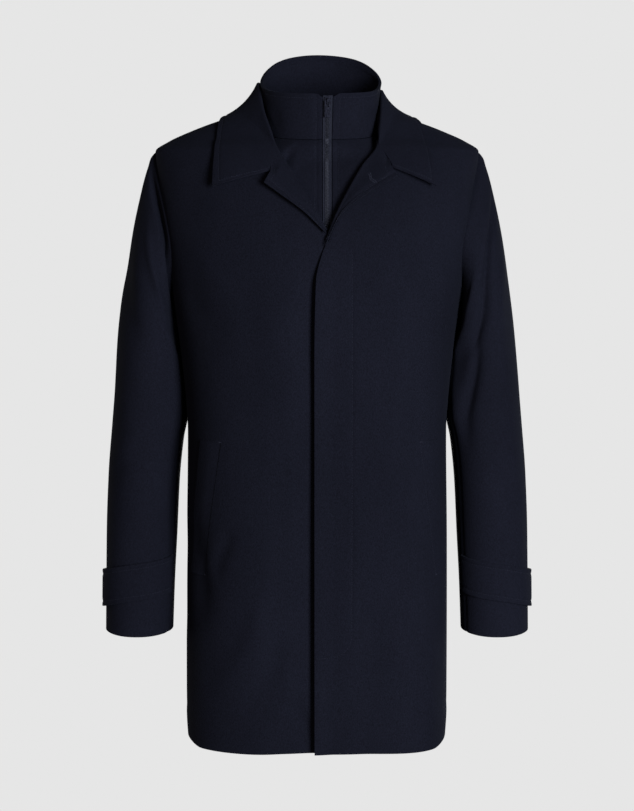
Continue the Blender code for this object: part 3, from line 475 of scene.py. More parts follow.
# The two fronts: wool panels from the front edge to the side seam, armhole and shoulder seam.
# The left one laps over the right and hides the buttons behind a fly, whose placket is held by a
# row of topstitching that curves to the front edge near its foot.
FRONT_NECK_TOP_LEVEL = -0.006
OVERLAP_STEP = 0.0014
OVERLAP_ENDS_AT_X = 0.045
OVERLAP_FADE = 0.030
FRONT_EDGE = {
    "left": Sections("level x", (
        (-0.8730, -0.0030),
        (-0.3500, -0.0034),
        (-0.2400, -0.0013),
        (-0.2050, 0.0065),
        (-0.1850, 0.0145),
        (-0.1550, 0.0260),
        (-0.1231, 0.0420),
        (-0.0867, 0.0630),
        (-0.0580, 0.0830),
        (-0.0350, 0.0850),
        (-0.0150, 0.0858),
        (-0.0060, 0.0860),
    )),
    "right": Sections("level x", (
        (-0.8730, -0.0450),
        (-0.2600, -0.0450),
        (-0.2000, -0.0300),
        (-0.1740, -0.0125),
        (-0.1390, 0.0085),
        (-0.1055, 0.0290),
        (-0.0717, 0.0500),
        (-0.0500, 0.0650),
        (-0.0350, 0.0755),
        (-0.0150, 0.0840),
        (-0.0060, 0.0860),
    )),
}
FRONT_FOLDS = {
    "right": (
        (-0.050, -0.180, -0.055, -0.680, 0.030, 0.0050),
        (-0.105, -0.300, -0.112, -0.560, 0.026, -0.0022),
        (-0.116, -0.560, -0.140, -0.655, 0.008, -0.0040),
        (-0.155, -0.530, -0.166, -0.740, 0.014, -0.0060),
        (-0.060, -0.640, -0.124, -0.810, 0.017, 0.0042),
        (-0.046, -0.690, -0.094, -0.840, 0.014, -0.0042),
        (-0.026, -0.725, -0.071, -0.872, 0.015, 0.0040),
        (-0.024, -0.780, -0.020, -0.868, 0.010, -0.0030),
        (-0.190, -0.235, -0.110, -0.330, 0.018, -0.0026),
        (-0.175, -0.190, -0.095, -0.270, 0.017, 0.0020),
    ),
    "left": (
        (0.066, -0.640, 0.094, -0.825, 0.018, -0.0022),
        (0.152, -0.720, 0.157, -0.868, 0.011, 0.0026),
        (0.128, -0.650, 0.132, -0.868, 0.014, -0.0020),
        (0.075, -0.280, 0.090, -0.600, 0.034, 0.0024),
        (0.175, -0.190, 0.100, -0.280, 0.018, 0.0018),
    ),
}
FLY_STAND = 0.0048
FLY_STAND_WITHIN = 0.028
UNDER_FRONT_SINK = 0.0044
UNDER_FRONT_WITHIN = 0.034
FLY_STAND_TOP = -0.190
FLY_STAND_FULL = -0.260
FLY_STITCH_X = 0.0466
FLY_STITCH_TOP = -0.200
FLY_STITCH_TURNS = -0.712
FLY_STITCH_FOOT = -0.742
FLY_CURVE = (
    (FLY_STITCH_X, FLY_STITCH_TOP),
    (FLY_STITCH_X, FLY_STITCH_TURNS),
    (0.0445, -0.7235),
    (0.0385, -0.7325),
    (0.0300, -0.7385),
    (0.0200, -0.7412),
    (0.0000, FLY_STITCH_FOOT),
)
STITCH_DIP = 0.0008
STITCH_REACH = 0.0022
FRONT_WIDTH = 0.27
FRONT_COLUMNS = spaced((0.010, 4), (0.10, 9), (0.25, 26), (0.94, 38), (0.988, 5), (1.0, 3))


def turn_at_front_x(x, level):
    """The turn at which the front of the body reaches a distance from the middle."""
    share = min(abs(x) / TORSO.read("half_width", level), 1.0)
    y = -TORSO.read("front_depth", level) * oval(share, TORSO.read("squareness", level))
    return math.atan2(y, x)


def stitch_draw(distance):
    """How deep a row of topstitching draws the cloth in, at a distance from the row."""
    return STITCH_DIP * bump(distance, STITCH_REACH)


def front_relief(side, x, level):
    """The folds of one front, the stand of its fly edge and the draw of the fly's stitching."""
    world_x = x if side == "left" else -x
    relief = fold_height(FRONT_FOLDS[side], world_x, level)
    fly_edge = FRONT_EDGE["left"].read("x", level)
    below = ease((FLY_STAND_TOP - level) / (FLY_STAND_TOP - FLY_STAND_FULL))
    if side == "right":
        relief -= UNDER_FRONT_SINK * ease(1 - (fly_edge - world_x) / UNDER_FRONT_WITHIN) * below
    else:
        relief += FLY_STAND * ease(1 - (world_x - fly_edge) / FLY_STAND_WITHIN) * below
        sewn = ease((FLY_STITCH_TOP - level) / STITCH_REACH)
        sewn *= ease((level - FLY_STITCH_TURNS) / STITCH_REACH)
        relief -= stitch_draw(x - FLY_STITCH_X) * sewn
    return relief


def front_turn(side, turn):
    """A turn given as on the wearer's left front, on the side asked for."""
    return turn if side == "left" else -math.pi - turn


def on_front(side, turn, level, out):
    """A point over a front, moved straight out from its face. The turn is given as on the left front."""
    placed = front_turn(side, turn)
    point = torso_point(placed, level)
    x = point.x if side == "left" else -point.x
    step = OVERLAP_STEP * ease((OVERLAP_ENDS_AT_X + OVERLAP_FADE - x) / OVERLAP_FADE)
    lift = out + front_relief(side, x, level) + (step if side == "left" else -step)
    return point + torso_normal(placed, level) * lift


def front_panel(side):
    """Places on one front, from its front edge (0) to its side seam, armhole and shoulder seam (1)."""
    def place(across, up):
        edge_level = panel_level(up, FRONT_NECK_TOP_LEVEL)
        level = panel_level(up, mix(FRONT_NECK_TOP_LEVEL, NECK_POINT_LEVEL, across))
        inner = turn_at_front_x(FRONT_EDGE[side].read("x", edge_level), edge_level)
        outer = -armhole_turn(level, "front_depth", ARMHOLE_FRONT_DEPTH) + seam_turn(level)
        from_side = (1 - across) * FRONT_WIDTH
        relief = side_seam_dip(from_side, level) + shoulder_rounding(from_side, level)
        relief += hem_relief(level - HEM_LEVEL)
        return on_front(side, mix(inner, outer, across), level, relief)
    return place


def thread_finish(name, dark_strand, light_strand):
    """Sewing thread dyed to match: navy, twisted, with a slight shine; with nearly black strands it is
    painted seam shadow.
    """
    finish, shader = new_finish(name)
    strands = fibre_noise(finish, scale=1500.0, detail=2.0, roughness=0.5)
    tones = colours_along(finish, strands, ((0.35, dark_strand), (0.65, light_strand)))
    finish.node_tree.links.new(tones, shader.inputs["Base Color"])
    shader.inputs["Roughness"].default_value = 0.70
    shader.inputs["Specular IOR Level"].default_value = 0.06
    return finish


thread = thread_finish("matching_thread", (0.0140, 0.0145, 0.0235), (0.0330, 0.0345, 0.0540))
STITCH_PITCH = 0.0034
STITCH_LENGTH = 0.0026
THREAD_WIDTH = 0.00055
THREAD_HEIGHT = 0.00050


def spots_along(run, pitch, first):
    """Spots at an even pitch along a run of points: each with its direction and the stretch it lies on."""
    wanted = first
    walked = 0.0
    for stretch, (start, end) in enumerate(zip(run, run[1:])):
        step = (end - start).length
        while step > 0 and wanted <= walked + step:
            along = (end - start) / step
            yield start + along * (wanted - walked), along, stretch
            wanted += pitch
        walked += step


def laid_along(spot, first, second, third):
    """Where a small shape goes whose three axes lie along these directions."""
    return Matrix.Translation(spot) @ Matrix((first, second, third)).transposed().to_4x4()


def sew(name, rows, pitch=STITCH_PITCH, length=STITCH_LENGTH, width=THREAD_WIDTH, finish=thread):
    """Rows of stitches along paths of places and outward directions, each half sunk in the cloth."""
    sewing = bmesh.new()
    for row in rows:
        run = [place for place, _ in row]
        for spot, along, stretch in spots_along(run, pitch, pitch / 2):
            out = row[stretch][1]
            across = out.cross(along).normalized()
            placed = laid_along(spot, along * length / 2, across * width / 2, out * THREAD_HEIGHT / 2)
            bmesh.ops.create_icosphere(sewing, subdivisions=1, radius=1.0, matrix=placed)
    piece = add_piece(name, sewing, finish)
    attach(piece, "coat")
    return piece


def steps_between(spots, steps):
    """Even steps along the straight stretches from spot to spot, each spot a pair of measures."""
    for (from_one, from_other), (to_one, to_other) in zip(spots, spots[1:]):
        for step in range(steps + 1):
            yield mix(from_one, to_one, step / steps), mix(from_other, to_other, step / steps)


def front_path(side, spots, steps=60):
    """A path on a front through places given as x and level, with the direction out of the cloth."""
    path = []
    for x, level in steps_between(spots, steps):
        turn = turn_at_front_x(x, level)
        out = torso_normal(front_turn(side, turn), level)
        path.append((on_front(side, turn, level, 0.0), out))
    return path


fronts = {}
for side, facing in SIDES:
    panel = front_panel(side)
    fronts[side] = cloth_shell("wool_front_" + side, FRONT_COLUMNS, BODY_ROWS, panel, CLOTH, facing, wool)
    stand_in(fronts[side], "front_" + side)
fly_sewing = sew("fly_topstitching", (front_path("left", FLY_CURVE),))


# The pocket welts: a slanted strip of wool on each front, folded double and sewn down along its
# front seam. On the right welt that seam is drawn as a nearly black line of painted shadow,
# standing in for the dark ditch of the seam. A bar tack at each end takes the strain.
POCKET_GAP = 0.0004
WELT_CLOTH = 0.0014
POCKET = {
    "left": Sections("share front_x level width_turn", (
        (0.0, 0.1370, -0.4545, 12.4),
        (1.0, 0.1610, -0.6385, 11.4),
    )),
    "right": Sections("share front_x level width_turn", (
        (0.0, 0.1285, -0.4545, 12.4),
        (1.0, 0.1560, -0.6385, 11.4),
    )),
}
WELT_SEAM_SUNK = 0.0019
WELT_SEAM_WITHIN = 0.55
WELT_EDGE = 0.0005
WELT_COLUMNS = spaced((0.10, 3), (0.90, 10), (1.0, 3))
WELT_ROWS = spaced((0.02, 3), (0.98, 44), (1.0, 3))
# The left welt has real topstitching. The right welt's entries lay a close, wide chain of nearly black
# thread along its seam, which is painted shadow.
WELT_STITCH_AND_SHADOW_LINE_IN = {"left": 0.040, "right": 0.020}
WELT_STITCH_FOOT = 0.01
WELT_STITCH_TOP = 0.99
WELT_STITCH_AND_SHADOW_LINE_PITCH = {"left": STITCH_PITCH, "right": 0.0022}
WELT_THREAD_AND_SHADOW_LINE_WIDTH = {"left": 0.00045, "right": 0.0014}
TACK_FROM = 0.03
TACK_TO = 0.13
TACK_HEIGHTS = (0.006, 0.994)
TACK_PITCH = 0.0006
TACK_WIDTH = 0.0020


def pocket_welt(side):
    """Places on one pocket welt, from its front seam (0) to its opening edge (1) and from foot to top."""
    table = POCKET[side]

    def place(across, up):
        level = table.read("level", 1 - up)
        front = turn_at_front_x(table.read("front_x", 1 - up), level)
        turn = front + math.radians(table.read("width_turn", 1 - up)) * across
        sunk = WELT_SEAM_SUNK * ease(1 - across / WELT_SEAM_WITHIN)
        return on_front(side, turn, level, WELT_CLOTH + POCKET_GAP - sunk)
    return place


def out_of(place, across, up, facing):
    """The direction straight out of a panel at one of its places."""
    step = 0.004
    low_across = max(across - step, 0.0)
    high_across = min(across + step, 1.0)
    low_up = max(up - step, 0.0)
    high_up = min(up + step, 1.0)
    over = place(high_across, up) - place(low_across, up)
    rise = place(across, high_up) - place(across, low_up)
    return over.cross(rise).normalized() * facing


def panel_path(place, facing, spots, steps=40):
    """A path on a panel through places given as shares across and up it, with the direction out of it."""
    path = []
    for across, up in steps_between(spots, steps):
        path.append((place(across, up), out_of(place, across, up, facing)))
    return path


# Painted shade: a nearly black thread for the right welt's seam, standing in for the shadow in the seam's
# ditch.
painted_seam_shadow = thread_finish("painted_seam_shadow", (0.0012, 0.0012, 0.0018), (0.0035, 0.0036, 0.0055))
welt_thread_and_painted_shadow = {"left": thread, "right": painted_seam_shadow}
for side, facing in SIDES:
    place = pocket_welt(side)
    welt = cloth_shell("wool_welt_" + side, WELT_COLUMNS, WELT_ROWS, place, WELT_CLOTH, facing, wool,
                       WELT_EDGE)
    stand_in(welt, "pocket_welt_" + side)
    inset = WELT_STITCH_AND_SHADOW_LINE_IN[side]
    seam = panel_path(place, facing, ((inset, WELT_STITCH_FOOT), (inset, WELT_STITCH_TOP)))
    # On the left welt this is real topstitching. On the right welt it is the nearly black line of painted
    # seam shadow.
    welt_sewing_and_shadow_line = sew("welt_stitching_and_shadow_line_" + side, (seam,), pitch=WELT_STITCH_AND_SHADOW_LINE_PITCH[side],
                      width=WELT_THREAD_AND_SHADOW_LINE_WIDTH[side], finish=welt_thread_and_painted_shadow[side])
    tacks = [panel_path(place, facing, ((TACK_FROM, up), (TACK_TO, up))) for up in TACK_HEIGHTS]
    bar_tacks = sew("welt_bar_tacks_" + side, tacks, pitch=TACK_PITCH, length=TACK_PITCH,
                    width=TACK_WIDTH)


# The sleeves: each is cut in two, an upper and an under sleeve, sewn together in front and behind
# and set into the armhole with a little fullness over the head. They bend softly at the elbow.
SLEEVE_ROUNDNESS = 2.2
SLEEVE_HEAD_SHARE = 0.25
FRONT_SLEEVE_SEAM = math.radians(150)
BACK_SLEEVE_SEAM = math.radians(-108)
CUFF_DROP = 0.004
CUFF_DROP_FROM = 0.80
SLEEVE_RADIUS = 0.055
SLEEVE_LENGTH = 0.68
SLEEVE = Sections("share outer_x outer_z inner_x inner_z front_depth back_depth centre_y", (
    (0.00, 0.2245, -0.0635, 0.1998, -0.2695, 0.052, 0.062, 0.000),
    (0.06, 0.2362, -0.0910, 0.2008, -0.2800, 0.058, 0.066, 0.001),
    (0.13, 0.2470, -0.1330, 0.2000, -0.2920, 0.064, 0.070, 0.002),
    (0.20, 0.2558, -0.1750, 0.1975, -0.3060, 0.068, 0.073, 0.004),
    (0.28, 0.2645, -0.2310, 0.1925, -0.3280, 0.070, 0.075, 0.006),
    (0.38, 0.2740, -0.3000, 0.1880, -0.3620, 0.069, 0.073, 0.008),
    (0.48, 0.2810, -0.3700, 0.1838, -0.4050, 0.066, 0.068, 0.009),
    (0.53, 0.2840, -0.4050, 0.1824, -0.4300, 0.064, 0.065, 0.009),
    (0.58, 0.2870, -0.4400, 0.1868, -0.4580, 0.062, 0.063, 0.008),
    (0.68, 0.2925, -0.5100, 0.1930, -0.5180, 0.058, 0.058, 0.004),
    (0.80, 0.2952, -0.5900, 0.1965, -0.5940, 0.055, 0.055, -0.003),
    (0.90, 0.2957, -0.6600, 0.1998, -0.6610, 0.053, 0.053, -0.010),
    (1.00, 0.2960, -0.7270, 0.2020, -0.7270, 0.051, 0.051, -0.017),
))
SLEEVE_FOLDS = {
    "right": (
        (0.016, 0.014, 0.158, 0.028, 0.0115, -0.0125),
        (0.050, 0.045, 0.128, 0.180, 0.014, 0.0032),
        (0.118, 0.130, 0.148, 0.430, 0.015, 0.0055),
        (0.020, 0.110, 0.075, 0.330, 0.020, -0.0026),
        (-0.020, 0.130, 0.030, 0.360, 0.018, 0.0024),
        (0.125, 0.350, 0.035, 0.450, 0.014, 0.0024),
        (0.115, 0.400, 0.020, 0.480, 0.013, -0.0024),
        (-0.090, 0.300, -0.030, 0.420, 0.018, 0.0030),
        (-0.100, 0.380, -0.030, 0.480, 0.014, -0.0030),
    ),
    "left": (
        (0.024, 0.058, 0.094, 0.160, 0.0095, -0.0080),
        (0.068, 0.108, 0.116, 0.265, 0.0105, -0.0080),
        (0.098, 0.190, 0.122, 0.440, 0.0105, -0.0078),
        (0.095, 0.070, 0.150, 0.260, 0.013, 0.0065),
        (0.138, 0.140, 0.146, 0.420, 0.014, 0.0060),
        (0.030, 0.120, 0.084, 0.330, 0.016, 0.0030),
        (0.085, 0.430, 0.045, 0.540, 0.013, -0.0042),
        (0.072, 0.480, 0.034, 0.580, 0.012, 0.0026),
        (-0.095, 0.310, -0.030, 0.430, 0.018, 0.0030),
        (-0.100, 0.390, -0.030, 0.490, 0.014, -0.0030),
    ),
}
SLEEVE_SEAM_HOLDS = 0.007
SLEEVE_PRESSED = Sections("share out", (
    (0.00, 0.0000),
    (0.05, 0.0030),
    (0.13, 0.0042),
    (0.20, 0.0036),
    (0.28, 0.0016),
    (0.40, 0.0013),
    (0.53, 0.0010),
    (0.60, 0.0000),
    (1.00, 0.0000),
))
SLEEVE_PRESSED_WITHIN = 0.60
SLEEVE_ROWS = spaced((0.012, 5), (0.10, 20), (0.985, 96), (0.996, 4), (1.0, 2))
UPPER_COLUMNS = spaced((0.012, 3), (0.05, 5), (0.95, 56), (0.988, 5), (1.0, 3))
UNDER_COLUMNS = spaced((0.02, 3), (0.08, 4), (0.92, 20), (0.98, 4), (1.0, 3))
UPPER_WIDTH = 0.29
UNDER_WIDTH = 0.10
HEAD_FULLNESS = 0.0016
HEAD_FULLNESS_AT = 0.016
HEAD_FULLNESS_REACH = 0.012


def signed_power(value, power):
    return math.copysign(abs(value) ** power, value)


def armhole_point(turn):
    """A point of the left armhole on the body, at a turn from the shoulder point (0) towards the front."""
    height = signed_power(math.cos(turn), 2 / ARMHOLE_ROUNDNESS)
    level = ARMHOLE_MIDDLE + (ARMHOLE_HALF_HEIGHT + SEAM_LAP) * height
    to_front = math.sin(turn) > 0
    depth = (ARMHOLE_FRONT_DEPTH if to_front else ARMHOLE_BACK_DEPTH) + SEAM_LAP
    y = depth * abs(math.sin(turn)) ** (2 / ARMHOLE_ROUNDNESS)
    if to_front:
        y *= armhole_lean(height)
    share = y / TORSO.read("front_depth" if to_front else "back_depth", level)
    x = TORSO.read("half_width", level) * oval(share, TORSO.read("squareness", level))
    return Vector((x, -y if to_front else y, level))


def sleeve_ring_point(share, turn):
    """A point of the plain sleeve tube: its rings swing from the upright armhole to the level cuff."""
    power = 2 / SLEEVE_ROUNDNESS
    swing = signed_power(math.cos(turn), power)
    side = signed_power(math.sin(turn), power)
    outer = Vector((SLEEVE.read("outer_x", share), SLEEVE.read("outer_z", share)))
    inner = Vector((SLEEVE.read("inner_x", share), SLEEVE.read("inner_z", share)))
    spot = (outer + inner) / 2 + (outer - inner) / 2 * swing
    depth = SLEEVE.read("front_depth" if side > 0 else "back_depth", share)
    drop = CUFF_DROP * side * side * ease((share - CUFF_DROP_FROM) / (1 - CUFF_DROP_FROM))
    return Vector((spot.x, SLEEVE.read("centre_y", share) - depth * side, spot.y - drop))


def sleeve_point(share, turn):
    """The outside of the left sleeve, led into the armhole over the sleeve head."""
    fade = 1 - share / SLEEVE_HEAD_SHARE
    point = sleeve_ring_point(share, turn)
    if fade > 0:
        point += (armhole_point(turn) - sleeve_ring_point(0.0, turn)) * fade
    return point


def sleeve_normal(share, turn):
    """The direction straight out of the sleeve."""
    step = 0.01
    low = max(share - step, 0.0)
    high = min(share + step, 1.0)
    along = sleeve_point(high, turn) - sleeve_point(low, turn)
    around = sleeve_point(share, turn + step) - sleeve_point(share, turn - step)
    return around.cross(along).normalized()


def sleeve_relief(side, share, turn):
    """The folds of one sleeve and the fullness that is eased into its head."""
    upright = turn if turn < math.pi else turn - 2 * math.pi
    down = share * SLEEVE_LENGTH
    held = bump(down, SLEEVE_SEAM_HOLDS)
    relief = fold_height(SLEEVE_FOLDS[side], upright * SLEEVE_RADIUS, down) * (1 - held)
    head = max(0.0, math.cos(upright))
    relief += HEAD_FULLNESS * head * bump(down - HEAD_FULLNESS_AT, HEAD_FULLNESS_REACH)
    to_body = bump(math.pi - abs(upright), SLEEVE_PRESSED_WITHIN)
    return relief + SLEEVE_PRESSED.read("out", share) * to_body


def armhole_draw(turn, down):
    """How the sewing draws the sleeve's edge into the body, just as it draws the panel's edge beside it."""
    seam = armhole_point(turn)
    normal = torso_normal(math.atan2(seam.y, seam.x), seam.z)
    return normal * (side_seam_dip(down, seam.z) + shoulder_rounding(down, seam.z))


def on_side(side, point):
    """A point given for the wearer's left, on the side asked for."""
    return point if side == "left" else Vector((-point.x, point.y, point.z))


def sleeve_panel(side, first_turn, last_turn, width):
    """Places on one sleeve piece, across between its seams and down from the armhole to the cuff."""
    def place(across, down):
        turn = mix(first_turn, last_turn, across)
        relief = sleeve_relief(side, down, turn) + seam_dip(min(across, 1 - across) * width)
        point = sleeve_point(down, turn) + sleeve_normal(down, turn) * relief
        return on_side(side, point + armhole_draw(turn, down * SLEEVE_LENGTH))
    return place


half_seam = SEAM_LAP / 2 / SLEEVE_RADIUS
upper_turns = (BACK_SLEEVE_SEAM - half_seam, FRONT_SLEEVE_SEAM + half_seam)
under_turns = (FRONT_SLEEVE_SEAM - half_seam, BACK_SLEEVE_SEAM + 2 * math.pi + half_seam)
for side, facing in SIDES:
    place = sleeve_panel(side, *upper_turns, UPPER_WIDTH)
    upper = cloth_shell("wool_upper_sleeve_" + side, UPPER_COLUMNS, SLEEVE_ROWS, place, CLOTH, facing, wool)
    stand_in(upper, "sleeve_upper_" + side)
    place = sleeve_panel(side, *under_turns, UNDER_WIDTH)
    under = cloth_shell("wool_under_sleeve_" + side, UNDER_COLUMNS, SLEEVE_ROWS, place, CLOTH, facing, wool)
    stand_in(under, "sleeve_under_" + side)


# The cuff straps: a doubled band of wool on each cuff, caught in the front sleeve seam, topstitched
# all round and buttoned behind the wrist.
STRAP = Sections("share turn centre_z lift", (
    (0.00, 154.0, -0.6470, 0.0006),
    (0.30, 84.0, -0.6560, 0.0010),
    (0.60, 14.0, -0.6690, 0.0024),
    (0.75, -20.0, -0.6730, 0.0024),
    (1.00, -78.0, -0.6750, 0.0008),
))
STRAP_HALF_WIDTH = 0.0255
STRAP_ABOVE_SHARE = 0.5
STRAP_HALVINGS = 24
STRAP_CLOTH = 0.0030
STRAP_EDGE = 0.0011
STRAP_POINT = 0.010
STRAP_POINT_FROM = 0.93
STRAP_STITCH_IN = 0.13
STRAP_STITCH_REACH = 0.045
STRAP_STITCH_STARTS = 0.02
STRAP_STITCH_TURNS = 0.97
STRAP_LOOP = (
    (STRAP_STITCH_STARTS, STRAP_STITCH_IN),
    (STRAP_STITCH_TURNS, STRAP_STITCH_IN),
    (STRAP_STITCH_TURNS, 1 - STRAP_STITCH_IN),
    (STRAP_STITCH_STARTS, 1 - STRAP_STITCH_IN),
)
STRAP_LOOP_STEPS = 50
STRAP_COLUMNS = spaced((0.97, 60), (1.0, 6))
STRAP_ROWS = spaced((0.06, 3), (0.22, 7), (0.78, 10), (0.94, 7), (1.0, 3))


def strap_panel(side):
    """Places on one cuff strap, round from the sleeve's front seam, and from lower to upper edge."""
    def place(around, up):
        turn = math.radians(STRAP.read("turn", around))
        narrower = STRAP_POINT * ease((around - STRAP_POINT_FROM) / (1 - STRAP_POINT_FROM))
        half = STRAP_HALF_WIDTH - narrower
        level = STRAP.read("centre_z", around) + mix(-half, half, up)
        low = STRAP_ABOVE_SHARE
        high = 1.0
        for _ in range(STRAP_HALVINGS):
            middle = (low + high) / 2
            if sleeve_point(middle, turn).z > level:
                low = middle
            else:
                high = middle
        from_edge = min(up, 1 - up)
        draw = STITCH_DIP * bump(from_edge - STRAP_STITCH_IN, STRAP_STITCH_REACH)
        out = STRAP.read("lift", around) + STRAP_CLOTH - draw
        return on_side(side, sleeve_point(low, turn) + sleeve_normal(low, turn) * out)
    return place


for side, facing in SIDES:
    place = strap_panel(side)
    strap = cloth_shell("wool_cuff_strap_" + side, STRAP_COLUMNS, STRAP_ROWS, place, STRAP_CLOTH,
                        facing, wool, STRAP_EDGE)
    stand_in(strap, "cuff_strap_" + side)
    loop = panel_path(place, facing, STRAP_LOOP, STRAP_LOOP_STEPS)
    strap_sewing = sew("cuff_strap_stitching_" + side, (loop,))


# The strap buttons: four-hole buttons of dark navy plastic with a raised rim and a dished middle,
# sewn through the strap behind each wrist with thread crossed over the holes.
BUTTON_RADIUS = 0.0105
BUTTON_THICKNESS = 0.0036
BUTTON_RIM_WIDTH = 0.0022
BUTTON_DISH = 0.0008
BUTTON_BEVEL = 0.0006
BUTTON_BEVEL_STEPS = 3
BUTTON_SIDES = 40
BUTTON_RIM_ANGLE = math.radians(55)
BUTTON_SHARP_ANGLE = math.radians(40)
BUTTON_AT = 15 / 16
BUTTON_MIDDLE = 0.5
BUTTON_SEAT_GAP = 0.0003
HOLE_TURNS = (45, 135, 225, 315)
HOLE_SIDES = 14
HOLE_RADIUS = 0.0010
HOLE_LIP = 0.00025
HOLE_FACES_UP = 0.9
HOLE_FROM_MIDDLE = 0.0021
HOLE_TO_HOLE = 2.82 * HOLE_FROM_MIDDLE
HOLE_DEPTH = 0.0005
CROSS_LENGTH = 0.0052
CROSS_WIDTH = 0.0009


def button_finish(name):
    """Dark moulded plastic with faint horn-like streaks and a soft gloss."""
    dark_streak = (0.004, 0.0042, 0.0075)
    light_streak = (0.012, 0.0128, 0.021)
    finish, shader = new_finish(name)
    links = finish.node_tree.links
    streaks = fibre_noise(finish, scale=260.0, detail=3.0, roughness=0.6, stretch=(1.0, 0.3, 1.0))
    tones = colours_along(finish, streaks, ((0.35, dark_streak), (0.70, light_streak)))
    links.new(tones, shader.inputs["Base Color"])
    links.new(range_along(finish, streaks, low=0.28, high=0.42), shader.inputs["Roughness"])
    return finish


moulded = button_finish("navy_button_plastic")
dish_level = BUTTON_THICKNESS / 2 - BUTTON_DISH
for side, facing in SIDES:
    place = strap_panel(side)
    seat = place(BUTTON_AT, BUTTON_MIDDLE)
    outward = out_of(place, BUTTON_AT, BUTTON_MIDDLE, facing)
    disc = bmesh.new()
    bmesh.ops.create_cone(disc, cap_ends=True, segments=BUTTON_SIDES, radius1=BUTTON_RADIUS,
                          radius2=BUTTON_RADIUS, depth=BUTTON_THICKNESS)
    rims = [line for line in disc.edges if line.calc_face_angle(0.0) > BUTTON_RIM_ANGLE]
    bmesh.ops.bevel(disc, geom=rims, offset=BUTTON_BEVEL, segments=BUTTON_BEVEL_STEPS, profile=0.5,
                    affect="EDGES", material=-1)
    disc.faces.ensure_lookup_table()
    front = max(disc.faces, key=lambda face: face.calc_center_median().z)
    bmesh.ops.inset_region(disc, faces=[front], thickness=BUTTON_RIM_WIDTH - BUTTON_BEVEL)
    bmesh.ops.inset_region(disc, faces=[front], thickness=BUTTON_DISH, depth=-BUTTON_DISH)
    for turn in HOLE_TURNS:
        swing = math.radians(turn)
        spot = Vector((math.cos(swing), math.sin(swing), 0.0)) * HOLE_FROM_MIDDLE
        hole = Matrix.Translation(spot + Vector((0.0, 0.0, dish_level)))
        ring = bmesh.ops.create_cone(disc, cap_ends=True, segments=HOLE_SIDES,
                                     radius1=HOLE_RADIUS + HOLE_LIP, radius2=HOLE_RADIUS,
                                     depth=HOLE_DEPTH, matrix=hole)
        lids = [face for face in disc.faces
                if all(vert in ring["verts"] for vert in face.verts) and face.normal.z > HOLE_FACES_UP]
        bmesh.ops.inset_region(disc, faces=lids, thickness=HOLE_LIP, depth=-HOLE_DEPTH)
    upright = outward.to_track_quat("Z", "Y").to_matrix().to_4x4()
    lift = BUTTON_THICKNESS / 2 + BUTTON_SEAT_GAP
    placed = Matrix.Translation(seat + outward * lift) @ upright
    disc.transform(placed)
    button = add_piece("strap_button_" + side, disc, moulded)
    button.data.set_sharp_from_angle(angle=BUTTON_SHARP_ANGLE)
    stand_in(button, "cuff_button_" + side)
    strands = []
    for sign in (-1, 1):
        corner = Vector((HOLE_FROM_MIDDLE, HOLE_FROM_MIDDLE * sign, 0.0))
        above = Vector((0.0, 0.0, dish_level + HOLE_DEPTH))
        strands.append([(placed @ (above - corner), outward), (placed @ (above + corner), outward)])
    sew("strap_button_thread_" + side, strands, pitch=HOLE_TO_HOLE, length=CROSS_LENGTH,
        width=CROSS_WIDTH)


# The bib: the zipped insert inside the fronts, in two halves of lighter wool that run up to the
# funnel neck. Each half is turned in and topstitched beside the zip, and its hem hangs free inside.
BIB_CLOTH = 0.0018
FUNNEL_CENTRE_X = 0.0005
FUNNEL_BASE_HALF_WIDTH = {"left": 0.0820, "right": 0.0745}
FUNNEL_TOP_HALF_WIDTH = {"left": 0.0885, "right": 0.0790}
FUNNEL_FRONT_DEPTH = 0.0700
FUNNEL_FULLNESS = 0.0070
FUNNEL_FULLNESS_PEAK = 3
FUNNEL_BASE_BACK_DEPTH = 0.0520
FUNNEL_TOP_BACK_DEPTH = 0.0660
ZIP_X = 0.0134
ZIP_HALF_GAP = 0.0065
BIB_SEAM_GAP = 0.0003
BIB_BOTTOM_LEVEL = -0.33
BIB_BOTTOM_HALF_WIDTH = 0.118
BIB_SIDE_TURN = math.radians(-18)
BIB_INSET_AT_ZIP = 0.010
BIB_INSET_AT_SIDE = 0.0040
BIB_TUCKS_IN_WITHIN = 0.11
BIB_FOLDS = {
    "right": (
        (-0.056, -0.088, -0.024, -0.060, 0.0052, -0.0036),
        (-0.054, -0.070, -0.024, -0.051, 0.0050, 0.0016),
        (-0.050, -0.105, -0.018, -0.072, 0.0060, 0.0016),
    ),
    "left": (
        (0.060, -0.070, 0.034, -0.100, 0.0080, 0.0012),
    ),
}
BIB_STITCH_FROM_ZIP = 0.0074
BIB_STITCH_AT = {"left": 0.095, "right": 0.088}
BIB_STITCH_FOOT = 0.02
BIB_STITCH_TOP = 0.99
BIB_COLUMNS = spaced((0.02, 3), (0.14, 14), (1.0, 34))
BIB_ROWS = spaced((0.97, 66), (1.0, 6))
NECK = Sections("front_to_back base_z top_z", (
    (-1.0, -0.0505, 0.0105),
    (-0.6, -0.0460, 0.0160),
    (-0.3, -0.0390, 0.0225),
    (0.0, -0.0030, 0.0310),
    (0.45, -0.0110, 0.0505),
    (0.75, -0.0160, 0.0650),
    (1.0, -0.0200, 0.0740),
))


